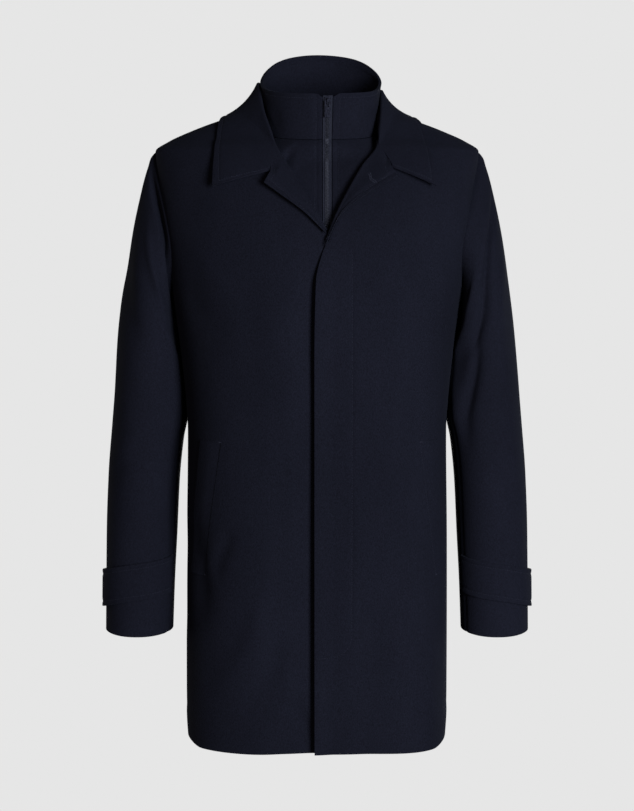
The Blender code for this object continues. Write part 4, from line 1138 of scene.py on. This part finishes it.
def funnel_ring(turn, height_share):
    """The outside of the funnel neck at a turn round it, from its seam (0) to its top edge (1)."""
    to_back = math.sin(turn)
    side = "left" if math.cos(turn) > 0 else "right"
    half_width = mix(FUNNEL_BASE_HALF_WIDTH[side], FUNNEL_TOP_HALF_WIDTH[side], height_share)
    back_depth = mix(FUNNEL_BASE_BACK_DEPTH, FUNNEL_TOP_BACK_DEPTH, height_share)
    depth = FUNNEL_FRONT_DEPTH if to_back < 0 else back_depth
    level = mix(NECK.read("base_z", to_back), NECK.read("top_z", to_back), height_share)
    fullness = 0.0
    if side == "left" and to_back < 0:
        fullness = FUNNEL_FULLNESS * abs(math.sin(2 * turn)) ** FUNNEL_FULLNESS_PEAK
    return Vector((FUNNEL_CENTRE_X + half_width * math.cos(turn) + fullness, depth * to_back, level))


def zip_turn(offset):
    """The turn on the funnel's seam that lies this far beside the zip, towards the wearer's left."""
    return -math.acos((ZIP_X + offset - FUNNEL_CENTRE_X) / FUNNEL_BASE_HALF_WIDTH["left"])


def bib_line(top, bottom_x, inset_low, down):
    """A line down the bib from a point of the neck seam to its hem, tucked in behind the coat's fronts."""
    x = mix(top.x, bottom_x, down)
    level = mix(top.z, BIB_BOTTOM_LEVEL, down)
    top_inset = top.y - torso_point(turn_at_front_x(top.x, top.z), top.z).y
    inset = mix(top_inset, inset_low, ease(down / BIB_TUCKS_IN_WITHIN))
    return Vector((x, torso_point(turn_at_front_x(x, level), level).y + inset, level))


def bib_panel(side):
    """Places on one half of the bib, from the zip (0) to its side (1) and from its hem up to the funnel."""
    sign = 1 if side == "left" else -1

    def place(across, up):
        first = zip_turn(sign * ZIP_HALF_GAP)
        last = BIB_SIDE_TURN if side == "left" else -math.pi - BIB_SIDE_TURN
        top = funnel_ring(mix(first, last, across), 0.0) - Vector((0.0, 0.0, BIB_SEAM_GAP))
        bottom_x = mix(ZIP_X + sign * ZIP_HALF_GAP, sign * BIB_BOTTOM_HALF_WIDTH, across)
        inset = mix(BIB_INSET_AT_ZIP, BIB_INSET_AT_SIDE, across)
        point = bib_line(top, bottom_x, inset, 1 - up)
        relief = fold_height(BIB_FOLDS[side], point.x, point.z)
        from_stitch = abs(point.x - ZIP_X) - ZIP_HALF_GAP - BIB_STITCH_FROM_ZIP
        relief -= stitch_draw(from_stitch)
        return point - Vector((0.0, relief, 0.0))
    return place


for side, facing in SIDES:
    place = bib_panel(side)
    bib = cloth_shell("wool_bib_" + side, BIB_COLUMNS, BIB_ROWS, place, BIB_CLOTH, facing, wool)
    stand_in(bib, "bib_" + side)
    beside = BIB_STITCH_AT[side]
    row = panel_path(place, facing, ((beside, BIB_STITCH_FOOT), (beside, BIB_STITCH_TOP)))
    bib_sewing = sew("bib_zip_stitching_" + side, (row,))


# The funnel neck: a doubled band of the same wool sewn to the top of the bib, open at the zip.
# Its top edge is rolled and topstitched, and it stands up round the throat, higher behind.
FUNNEL_CLOTH = 0.0040
FUNNEL_EDGE = 0.0013
FUNNEL_CORNER_DROP = 0.07
FUNNEL_CORNER_WITHIN = 0.022
FUNNEL_STITCH_IN = 0.0072
FUNNEL_STITCH_FOOT = 0.02
FUNNEL_LOOP_STEPS = 90
FUNNEL_HEIGHT = 0.075
FUNNEL_AROUND = 0.44
FUNNEL_COLUMNS = spaced((0.012, 5), (0.05, 12), (0.95, 110), (0.988, 12), (1.0, 5))
FUNNEL_ROWS = spaced((0.06, 4), (0.80, 14), (0.96, 12), (1.0, 3))
FUNNEL_FOLDS = (
    (0.030, 0.020, 0.075, 0.050, 0.014, -0.0012),
    (0.390, 0.045, 0.350, 0.012, 0.014, -0.0014),
    (0.180, 0.010, 0.200, 0.060, 0.020, -0.0018),
    (0.270, 0.012, 0.250, 0.060, 0.020, 0.0016),
)


def funnel_panel(around, up):
    """Places on the funnel from the zip round by the wearer's left, the back and the right to the zip."""
    first = zip_turn(ZIP_HALF_GAP)
    last = zip_turn(-ZIP_HALF_GAP) + 2 * math.pi
    turn = mix(first, last, around)
    from_zip = min(around, 1 - around)
    corner = 1 - FUNNEL_CORNER_DROP * ease(1 - from_zip / FUNNEL_CORNER_WITHIN) ** 2
    point = funnel_ring(turn, up * corner)
    outward = Vector((math.cos(turn), math.sin(turn), 0.0))
    relief = fold_height(FUNNEL_FOLDS, around * FUNNEL_AROUND, up * FUNNEL_HEIGHT)
    from_top = (1 - up) * FUNNEL_HEIGHT
    from_end = from_zip * FUNNEL_AROUND
    relief -= stitch_draw(from_top - FUNNEL_STITCH_IN) + stitch_draw(from_end - FUNNEL_STITCH_IN)
    relief += seam_dip(up * FUNNEL_HEIGHT)
    return point + outward * relief


funnel = cloth_shell("wool_funnel_neck", FUNNEL_COLUMNS, FUNNEL_ROWS, funnel_panel, FUNNEL_CLOTH, 1,
                     wool, FUNNEL_EDGE)
stand_in(funnel, "bib_funnel")
end = FUNNEL_STITCH_IN / FUNNEL_AROUND
top = 1 - FUNNEL_STITCH_IN / FUNNEL_HEIGHT
funnel_loop = ((end, FUNNEL_STITCH_FOOT), (end, top), (1 - end, top), (1 - end, FUNNEL_STITCH_FOOT))
funnel_row = panel_path(funnel_panel, 1, funnel_loop, FUNNEL_LOOP_STEPS)
funnel_sewing = sew("funnel_neck_stitching", (funnel_row,))


# The zip: two woven tapes sewn behind the edges of the bib and funnel, each with a row of small
# dark metal teeth pressed on its edge. The two rows lock together below the slider.
TAPE_WIDTH = 0.0058
TAPE_GAP = 0.0003
TAPE_CLOTH = 0.0012
TAPE_EDGE = 0.0003
TAPE_SINK = 0.0006
ZIP_FUNNEL_FROM = 0.80
ZIP_TOP_SHARE = 0.96
SLIDER_AT = 0.86
TOOTH_PITCH = 0.0022
TOOTH_LENGTH = 0.0034
TOOTH_HEIGHT = 0.0010
TOOTH_DEPTH = 0.0017
TOOTH_OUT = 0.0007
TOOTH_ROOT = 0.40
TOOTH_TIP = 0.52
TOOTH_LOCKS_BY = 0.35 * TOOTH_PITCH
TOOTH_SIDES = 8
TOOTH_SHARP_ANGLE = math.radians(50)
TEETH_START = {"left": 0.5 * TOOTH_PITCH, "right": TOOTH_PITCH}
TEETH_RUN_STEPS = 400
TAPE_COLUMNS = spaced((0.2, 2), (0.8, 4), (1.0, 2))
TAPE_ROWS = spaced((1.0, 120))


def zip_line(x, up):
    """The line of the zip's face at one x, from the bib's hem (0) to the funnel's top (1)."""
    turn = zip_turn(x - ZIP_X)
    if up > ZIP_FUNNEL_FROM:
        return funnel_ring(turn, (up - ZIP_FUNNEL_FROM) / (1 - ZIP_FUNNEL_FROM) * ZIP_TOP_SHARE)
    return bib_line(funnel_ring(turn, 0.0), x, BIB_INSET_AT_ZIP, 1 - up / ZIP_FUNNEL_FROM)


def zip_tape(side):
    """Places on one tape of the zip, from the teeth (0) to the bib's edge (1)."""
    sign = 1 if side == "left" else -1

    def place(across, up):
        x = ZIP_X + sign * mix(TAPE_GAP, TAPE_WIDTH, across)
        return zip_line(x, up) + Vector((0.0, TAPE_SINK, 0.0))
    return place


def woven_tape(name):
    """Zip tape: a close herringbone of navy polyester."""
    dark_yarn = (0.0100, 0.0105, 0.0170)
    light_yarn = (0.0270, 0.0285, 0.0440)
    finish, shader = new_finish(name)
    links = finish.node_tree.links
    yarns = fibre_noise(finish, scale=900.0, detail=2.0, roughness=0.5, stretch=(1.0, 1.0, 2.2))
    tones = colours_along(finish, yarns, ((0.35, dark_yarn), (0.68, light_yarn)))
    ribs = relief_along(finish, yarns, strength=0.5, distance=0.0004)
    links.new(tones, shader.inputs["Base Color"])
    links.new(ribs.outputs["Normal"], shader.inputs["Normal"])
    shader.inputs["Roughness"].default_value = 0.75
    shader.inputs["Specular IOR Level"].default_value = 0.06
    return finish


def plated_metal(name, plated, worn, smoothest, dullest):
    """Dark plated metal: brushed and slightly worn, with a soft reflection."""
    finish, shader = new_finish(name)
    links = finish.node_tree.links
    wear = fibre_noise(finish, scale=700.0, detail=3.0, roughness=0.6, stretch=(1.0, 1.0, 0.4))
    tones = colours_along(finish, wear, ((0.40, plated), (0.75, worn)))
    links.new(tones, shader.inputs["Base Color"])
    links.new(range_along(finish, wear, low=smoothest, high=dullest), shader.inputs["Roughness"])
    shader.inputs["Metallic"].default_value = 1.0
    return finish


tape_cloth = woven_tape("navy_zip_tape")
tooth_metal = plated_metal("tooth_metal", plated=(0.070, 0.072, 0.098), worn=(0.165, 0.169, 0.215),
                           smoothest=0.62, dullest=0.78)
slider_share = ZIP_FUNNEL_FROM + (1 - ZIP_FUNNEL_FROM) * SLIDER_AT
teeth_run = [zip_line(ZIP_X, share) for share in spaced((slider_share, TEETH_RUN_STEPS))]
for side, sign in SIDES:
    tape = cloth_shell("zip_tape_cloth_" + side, TAPE_COLUMNS, TAPE_ROWS, zip_tape(side), TAPE_CLOTH,
                       sign, tape_cloth, TAPE_EDGE)
    stand_in(tape, "zip_tape_" + side)
    teeth = bmesh.new()
    across = Vector((sign, 0.0, 0.0))
    for spot, upward, _ in spots_along(teeth_run, TOOTH_PITCH, TEETH_START[side]):
        outward = upward.cross(across).normalized() * -sign
        centre = spot + across * (TOOTH_LENGTH / 2 - TOOTH_LOCKS_BY) + outward * TOOTH_OUT
        placed = laid_along(centre, outward * TOOTH_DEPTH, upward * TOOTH_HEIGHT, across * TOOTH_LENGTH)
        bmesh.ops.create_cone(teeth, cap_ends=True, segments=TOOTH_SIDES, radius1=TOOTH_ROOT,
                              radius2=TOOTH_TIP, depth=1.0, matrix=placed)
    bmesh.ops.recalc_face_normals(teeth, faces=teeth.faces[:])
    tooth_row = add_piece("zip_teeth_" + side, teeth, tooth_metal)
    tooth_row.data.set_sharp_from_angle(angle=TOOTH_SHARP_ANGLE)
    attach(tooth_row, "coat")


# The slider: a die-cast body with rounded shoulders that parts the teeth, and a bail on its face.
# The pull tab hangs on the bail, a flat stamped tab with a slot at its top and eased edges.
zip_metal = plated_metal("gunmetal_zip", plated=(0.042, 0.043, 0.068), worn=(0.084, 0.086, 0.130),
                         smoothest=0.20, dullest=0.30)
for node in ("zip_slider", "zip_pull"):
    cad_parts[node].data.materials.clear()
    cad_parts[node].data.materials.append(zip_metal)


# The lapels: the upper ends of the fronts, rolled over and pressed, with their facing outside.
# Their edges are turned and topstitched, and the left one has a worked buttonhole near its point.
LAPEL_BEND = 0.0032
LAPEL_BEND_SHARE = 0.22
LAPEL_GAP = 0.0006
GORGE_GAP_SHARE = 0.012
LAPEL_EDGE = 0.0009
LAPEL_LIFT = {"left": 0.0080, "right": 0.0122}
LAPEL_LIFT_AT_FOOT = 0.35
UNDER_COLLAR_FROM = 0.90
UNDER_COLLAR_FULL = 1.00
GORGE_TUCK = 0.055
GORGE_TUCK_FROM = 0.40
GORGE_TUCK_FADE = 0.25
LAPEL = {
    "left": Sections("share roll_level edge_x edge_level", (
        (0.00, -0.1850, 0.0095, -0.1960),
        (0.33, -0.1440, 0.0300, -0.1560),
        (0.66, -0.0975, 0.0650, -0.1280),
        (1.00, -0.0580, 0.1071, -0.1040),
    )),
    "right": Sections("share roll_level edge_x edge_level", (
        (0.00, -0.1740, -0.0135, -0.1795),
        (0.33, -0.1390, 0.0165, -0.1510),
        (0.66, -0.1055, 0.0430, -0.1325),
        (1.00, -0.0717, 0.0699, -0.1145),
    )),
}
LAPEL_STITCH_IN = 0.0060
LAPEL_LOOP = {
    "left": ((0.90, 0.06), (0.88, 0.35), (0.88, 0.93), (0.50, 0.93)),
    "right": ((0.90, 0.06), (0.86, 0.35), (0.86, 0.93), (0.50, 0.93)),
}
BUTTONHOLE_FROM = (0.530, 0.720)
BUTTONHOLE_TO = (0.864, 0.785)
BUTTONHOLE_HALF_WIDTH = 0.0085
PURL_PITCH = 0.0008
PURL_LENGTH = 0.0007
PURL_WIDTH = 0.0021
LAPEL_COLUMNS = spaced((LAPEL_BEND_SHARE, 10), (0.80, 16), (0.97, 12), (1.0, 3))
LAPEL_ROWS = spaced((0.03, 3), (0.80, 30), (0.97, 12), (1.0, 3))


def lapel_panel(side):
    """Places on one lapel: round the bend at its roll line, then over the front to its edge."""
    table = LAPEL[side]

    def place(across, height):
        share = max(0.0, (across - LAPEL_BEND_SHARE) / (1 - LAPEL_BEND_SHARE))
        near_roll = 1 - ease((share - GORGE_TUCK_FROM) / GORGE_TUCK_FADE)
        up = mix(2 * GORGE_GAP_SHARE, 1 - GORGE_GAP_SHARE + GORGE_TUCK * near_roll, height)
        roll_level = table.read("roll_level", up)
        roll_x = FRONT_EDGE[side].read("x", roll_level)
        x = mix(roll_x, table.read("edge_x", up), share)
        level = mix(roll_level, table.read("edge_level", up), share)
        rise = mix(LAPEL_BEND + LAPEL_GAP, CLOTH + LAPEL_GAP, ease(share))
        if across < LAPEL_BEND_SHARE:
            swing = math.pi / 2 * across / LAPEL_BEND_SHARE
            x = roll_x - math.cos(swing) * LAPEL_BEND
            rise = LAPEL_GAP + math.sin(swing) * LAPEL_BEND
        width = math.hypot(table.read("edge_x", up) - roll_x, table.read("edge_level", up) - roll_level)
        from_edge = (1 - share) * width
        held = ease((up - UNDER_COLLAR_FROM) / (UNDER_COLLAR_FULL - UNDER_COLLAR_FROM)) * near_roll
        rise += LAPEL_LIFT[side] * ease(share) * mix(LAPEL_LIFT_AT_FOOT, 1.0, up) * (1 - held)
        rise -= stitch_draw(from_edge - LAPEL_STITCH_IN)
        return on_front(side, turn_at_front_x(x, level), level, rise)
    return place


for side, facing in SIDES:
    place = lapel_panel(side)
    lapel = cloth_shell("wool_lapel_" + side, LAPEL_COLUMNS, LAPEL_ROWS, place, CLOTH, facing,
                        wool, LAPEL_EDGE)
    stand_in(lapel, "lapel_" + side)
    sewing = [sew("lapel_stitching_" + side, (panel_path(place, facing, LAPEL_LOOP[side]),))]
    if side == "left":
        purl = []
        for aside in (-BUTTONHOLE_HALF_WIDTH, BUTTONHOLE_HALF_WIDTH):
            slit = [(across, up + aside) for across, up in (BUTTONHOLE_FROM, BUTTONHOLE_TO)]
            purl.append(panel_path(place, facing, slit))
        sewing.append(sew("lapel_buttonhole", purl, pitch=PURL_PITCH, length=PURL_LENGTH,
                          width=PURL_WIDTH))


# The collar: stand and fall in one turned piece of doubled wool, sewn to the neck edge, rolled over
# at its top and pressed down on the shoulders, with topstitched edges and soft points in front.
COLLAR_CLOTH = 0.0024
COLLAR_EDGE = 0.0010
COLLAR_BEND = 0.0030
COLLAR_STAND_TO = 0.20
COLLAR_FALL_FROM = 0.50
COLLAR_SEAM_GAP = 0.0014
COLLAR_CLEARANCE = 0.0014
COLLAR_TIP_LIFT = {"left": 0.0125, "right": 0.0105}
CLEARING_PASSES = 3
COLLAR_END_TURN = 0.0008
COLLAR_END_SWING = math.radians(70)
COLLAR_CORNER_FROM = 0.70
COLLAR_STAND_FADES_FROM = 0.60
COLLAR_STITCH_IN = 0.0062
COLLAR_LOOP_STEPS = 220
COLLAR_FACES_UP_BY = 0.08
COLLAR_FALL_WIDTH = 0.085
COLLAR_HALF_LENGTH = 0.30
COLLAR_MIDDLE = 0.5
SHOULDER_SEAM_SHARE = 0.5
COLLAR = {
    "left": Sections("share roll_x roll_y roll_z edge_x edge_y edge_z sag", (
        (0.00, 0.0000, 0.0715, 0.0200, 0.0000, 0.0860, -0.0560, 0.000),
        (0.25, 0.0540, 0.0580, 0.0210, 0.0820, 0.0680, -0.0480, 0.003),
        (0.50, 0.0915, 0.0060, 0.0200, 0.1345, 0.0020, -0.0165, 0.009),
        (0.75, 0.0890, -0.0420, -0.0200, 0.1500, -0.0480, -0.0650, 0.004),
        (1.00, 0.0830, -0.0690, -0.0580, 0.1600, -0.0800, -0.1155, 0.000),
    )),
    "right": Sections("share roll_x roll_y roll_z edge_x edge_y edge_z sag", (
        (0.00, 0.0000, 0.0715, 0.0200, 0.0000, 0.0860, -0.0560, 0.000),
        (0.25, 0.0510, 0.0580, 0.0250, 0.0820, 0.0680, -0.0480, 0.003),
        (0.50, 0.0835, 0.0060, 0.0300, 0.1305, 0.0020, -0.0152, 0.009),
        (0.75, 0.0740, -0.0430, -0.0140, 0.1352, -0.0500, -0.0660, 0.004),
        (1.00, 0.0500, -0.0800, -0.0717, 0.1394, -0.0880, -0.1168, 0.000),
    )),
}
NOTCH = {"left": (0.0995, -0.0930), "right": (0.0640, -0.0975)}
NOTCH_SHARE = 0.36
COLLAR_COLUMNS = spaced((0.008, 4), (0.035, 10), (0.965, 124), (0.992, 10), (1.0, 4))
COLLAR_ROWS = spaced((0.18, 6), (0.50, 16), (0.90, 20), (0.985, 12), (1.0, 3))


def clear_of_body(point, clearance):
    """The point, pushed straight out of the body until it stands at least this far from it."""
    for _ in range(CLEARING_PASSES):
        if point.z >= NECK_POINT_LEVEL:
            break
        turn = math.atan2(point.y, point.x)
        normal = torso_normal(turn, point.z)
        distance = (point - torso_point(turn, point.z)).dot(normal)
        if distance >= clearance:
            break
        point = point + normal * (clearance - distance)
    return point


def neck_seam(side, share):
    """The neck edge that the collar is sewn to, from the middle of the back (0) to the front end (1)."""
    if share <= SHOULDER_SEAM_SHARE:
        turn = math.pi / 2 * (1 - share / SHOULDER_SEAM_SHARE)
        return torso_point(turn, NECK_POINT_LEVEL - BACK_NECK_DROP * math.sin(turn))
    past = (share - SHOULDER_SEAM_SHARE) / (1 - SHOULDER_SEAM_SHARE)
    level = mix(NECK_POINT_LEVEL, LAPEL[side].read("roll_level", 1.0), past)
    x = FRONT_EDGE[side].read("x", min(level, FRONT_NECK_TOP_LEVEL))
    return torso_point(turn_at_front_x(x, level), level)


def collar_foot(side, share, bend):
    """Where the stand starts, just clear of the neck edge, for a stand that runs up to this bend."""
    step = 0.004
    seam = neck_seam(side, share)
    along = neck_seam(side, share + step) - neck_seam(side, share - step)
    normal = torso_normal(math.atan2(seam.y, seam.x), seam.z)
    beyond = along.cross(normal).normalized()
    upward = (bend - seam).normalized()
    through = upward.cross(along).normalized()
    clear = COLLAR_SEAM_GAP + COLLAR_CLOTH * max(0.0, -through.dot(beyond))
    return seam - normal * CLOTH / 2 + beyond * clear


def collar_fall(side, share, fall):
    """The outside of the turned-down fall, from the roll line (0) to its edge (1)."""
    table = COLLAR[side]
    roll = Vector(table.read("roll_" + axis, share) for axis in "xyz")
    edge = Vector(table.read("edge_" + axis, share) for axis in "xyz")
    sag = table.read("sag", share)
    inward = Vector((-roll.x, -roll.y, 0.0)).normalized()
    control = (roll + edge) / 2 + inward * sag - Vector((0.0, 0.0, sag))
    point = roll * (1 - fall) ** 2 + control * 2 * fall * (1 - fall) + edge * fall ** 2
    corner = ease((share - COLLAR_CORNER_FROM) / (1 - COLLAR_CORNER_FROM))
    if corner > 0:
        notch_x, notch_level = NOTCH[side]
        reach = NOTCH_SHARE if fall < NOTCH_SHARE else 1 - NOTCH_SHARE
        kink = max(0.0, 1 - abs(fall - NOTCH_SHARE) / reach)
        straight = roll.lerp(edge, NOTCH_SHARE)
        point += Vector((notch_x - straight.x, 0.0, notch_level - straight.z)) * kink * corner
    rise = mix(COLLAR_BEND + LAPEL_GAP, COLLAR_CLOTH + COLLAR_CLEARANCE, ease(fall))
    from_edge = (1 - fall) * COLLAR_FALL_WIDTH
    from_end = (1 - share) * COLLAR_HALF_LENGTH
    draw = stitch_draw(from_edge - COLLAR_STITCH_IN)
    if fall > NOTCH_SHARE:
        draw = max(draw, stitch_draw(from_end - COLLAR_STITCH_IN))
    tip_lift = COLLAR_TIP_LIFT[side] * corner * ease(fall)
    cleared = clear_of_body(point, rise) - Vector((0.0, tip_lift, 0.0))
    outward = Vector((cleared.x, cleared.y, COLLAR_FACES_UP_BY)).normalized()
    return cleared - outward * draw


def collar_panel(along, up):
    """Places on the collar from its right end (0) to its left (1), up the stand and down the fall."""
    side = "right" if along < COLLAR_MIDDLE else "left"
    share = (1 - GORGE_GAP_SHARE) * min(abs(along - COLLAR_MIDDLE) / COLLAR_MIDDLE, 1.0)
    front = ease((share - COLLAR_STAND_FADES_FROM) / (1 - COLLAR_STAND_FADES_FROM))
    if up >= COLLAR_FALL_FROM:
        return on_side(side, collar_fall(side, share, (up - COLLAR_FALL_FROM) / (1 - COLLAR_FALL_FROM)))
    step = 0.004
    fall_step = 0.08
    roll_top = collar_fall(side, share, 0.0)
    down = (collar_fall(side, share, fall_step) - roll_top).normalized()
    last = min(share + step, 1.0)
    first = max(share - step, 0.0)
    along_roll = collar_fall(side, last, 0.0) - collar_fall(side, first, 0.0)
    outward = along_roll.cross(down).normalized()
    swing_end = mix(math.pi, COLLAR_END_SWING, front)
    swing = swing_end * (1 - max(up - COLLAR_STAND_TO, 0.0) / (COLLAR_FALL_FROM - COLLAR_STAND_TO))
    point = roll_top - down * math.sin(swing) * COLLAR_BEND
    point -= outward * (1 - math.cos(swing)) * COLLAR_BEND
    if up < COLLAR_STAND_TO:
        foot = collar_foot(side, share, point)
        short_foot = point - outward * COLLAR_END_TURN
        point = foot.lerp(short_foot, front).lerp(point, up / COLLAR_STAND_TO)
    return on_side(side, point)


collar = cloth_shell("wool_collar", COLLAR_COLUMNS, COLLAR_ROWS, collar_panel, COLLAR_CLOTH, 1,
                     wool, COLLAR_EDGE)
stand_in(collar, "collar")
end = COLLAR_MIDDLE * COLLAR_STITCH_IN / COLLAR_HALF_LENGTH
low = 1 - (1 - COLLAR_FALL_FROM) * COLLAR_STITCH_IN / COLLAR_FALL_WIDTH
notch_up = COLLAR_FALL_FROM + (1 - COLLAR_FALL_FROM) * NOTCH_SHARE
collar_loop = ((end, notch_up), (end, low), (1 - end, low), (1 - end, notch_up))
collar_row = panel_path(collar_panel, 1, collar_loop, COLLAR_LOOP_STEPS)
collar_sewing = sew("collar_stitching", (collar_row,))


# The studio: a plain pale floor at the height where the wearer would stand, fading into an even
# pale grey room, with large soft lights in front and slim ones beside the sleeves.
FLOOR_LEVEL = -1.50
FLOOR_RADIUS = 1.6
FLOOR_SIDES = 96
FLOOR_FADES_FROM = 0.7
FLOOR_FADES_TO = 1.5
ROOM_GREY = (0.791, 0.791, 0.791, 1.0)
ROOM_GLOW = (1.0, 0.97, 0.94, 1.0)
ROOM_GLOW_STRENGTH = 0.05
LIGHTS_AIM = Vector((0.0, 0.0, -0.45))
COOL = (0.88, 0.95, 1.0)
WARM = (1.0, 0.86, 0.78)
CLEAR = (0.95, 0.98, 1.0)
WHITE = (1.0, 1.0, 1.0)
LIGHTS = (
    ("key_box", (1.45, -2.7, -0.20), 1.0, 1.4, 104.0, COOL),
    ("fill_box", (-1.5, -2.6, -0.55), 0.9, 1.5, 9.0, WARM),
    ("right_strip", (1.3, 0.9, -0.4), 0.35, 1.6, 4.5, CLEAR),
    ("left_strip", (-1.3, 0.9, -0.4), 0.35, 1.6, 4.5, CLEAR),
    ("back_box", (0.4, 2.8, -0.2), 1.8, 1.8, 60.0, WHITE),
)


def pale_floor(name):
    """Matt pale grey that thins out to nothing far from the coat."""
    light_grey = (0.76, 0.76, 0.76)
    lighter_grey = (0.80, 0.80, 0.80)
    finish, shader = new_finish(name)
    nodes = finish.node_tree.nodes
    links = finish.node_tree.links
    speckle = fibre_noise(finish, scale=30.0, detail=3.0, roughness=0.5)
    tones = colours_along(finish, speckle, ((0.3, light_grey), (0.7, lighter_grey)))
    place = nodes.new("ShaderNodeTexCoord")
    away = nodes.new("ShaderNodeVectorMath")
    away.operation = "LENGTH"
    fade = nodes.new("ShaderNodeMapRange")
    fade.inputs["From Min"].default_value = FLOOR_FADES_FROM
    fade.inputs["From Max"].default_value = FLOOR_FADES_TO
    clear = nodes.new("ShaderNodeBsdfTransparent")
    blend = nodes.new("ShaderNodeMixShader")
    links.new(tones, shader.inputs["Base Color"])
    links.new(place.outputs["Object"], away.inputs[0])
    links.new(away.outputs["Value"], fade.inputs["Value"])
    links.new(fade.outputs["Result"], blend.inputs["Fac"])
    links.new(shader.outputs["BSDF"], blend.inputs[1])
    links.new(clear.outputs["BSDF"], blend.inputs[2])
    links.new(blend.outputs["Shader"], nodes["Material Output"].inputs["Surface"])
    shader.inputs["Roughness"].default_value = 0.9
    return finish


disc = bmesh.new()
bmesh.ops.create_circle(disc, cap_ends=True, segments=FLOOR_SIDES, radius=FLOOR_RADIUS)
bmesh.ops.translate(disc, vec=(0.0, 0.0, FLOOR_LEVEL), verts=disc.verts[:])
floor = add_piece("studio_floor", disc, pale_floor("pale_floor"))

room = bpy.data.worlds.new("pale_room")
room.use_nodes = True
bpy.context.scene.world = room
nodes = room.node_tree.nodes
links = room.node_tree.links
seen = nodes["Background"]
seen.inputs["Color"].default_value = ROOM_GREY
seen.inputs["Strength"].default_value = 1.0
lit = nodes.new("ShaderNodeBackground")
lit.inputs["Color"].default_value = ROOM_GLOW
lit.inputs["Strength"].default_value = ROOM_GLOW_STRENGTH
ray = nodes.new("ShaderNodeLightPath")
either = nodes.new("ShaderNodeMixShader")
links.new(ray.outputs["Is Camera Ray"], either.inputs["Fac"])
links.new(lit.outputs["Background"], either.inputs[1])
links.new(seen.outputs["Background"], either.inputs[2])
links.new(either.outputs["Shader"], nodes["World Output"].inputs["Surface"])

for name, place, width, height, power, colour in LIGHTS:
    lamp = bpy.data.lights.new(name, "AREA")
    lamp.shape = "RECTANGLE"
    lamp.size = width
    lamp.size_y = height
    lamp.energy = power
    lamp.color = colour
    holder = bpy.data.objects.new(name, lamp)
    holder.location = place
    holder.rotation_euler = (LIGHTS_AIM - Vector(place)).to_track_quat("-Z", "Y").to_euler()
    bpy.context.scene.collection.objects.link(holder)
bpy.context.scene.view_settings.view_transform = "Standard"

CAMERA_PLACE = Vector((0.0, -2.590, -0.189))
CAMERA_AIM = Vector((0.0, 0.0, -0.416))
SENSOR = 36.0
FOCAL_PIXELS = 1857
PHOTO_HEIGHT = 811
lens = bpy.data.cameras.new("photo_camera")
lens.sensor_width = SENSOR
lens.lens = SENSOR * FOCAL_PIXELS / PHOTO_HEIGHT
camera = bpy.data.objects.new("photo_camera", lens)
camera.location = CAMERA_PLACE
camera.rotation_euler = (CAMERA_AIM - CAMERA_PLACE).to_track_quat("-Z", "Y").to_euler()
bpy.context.scene.collection.objects.link(camera)
bpy.context.scene.camera = camera
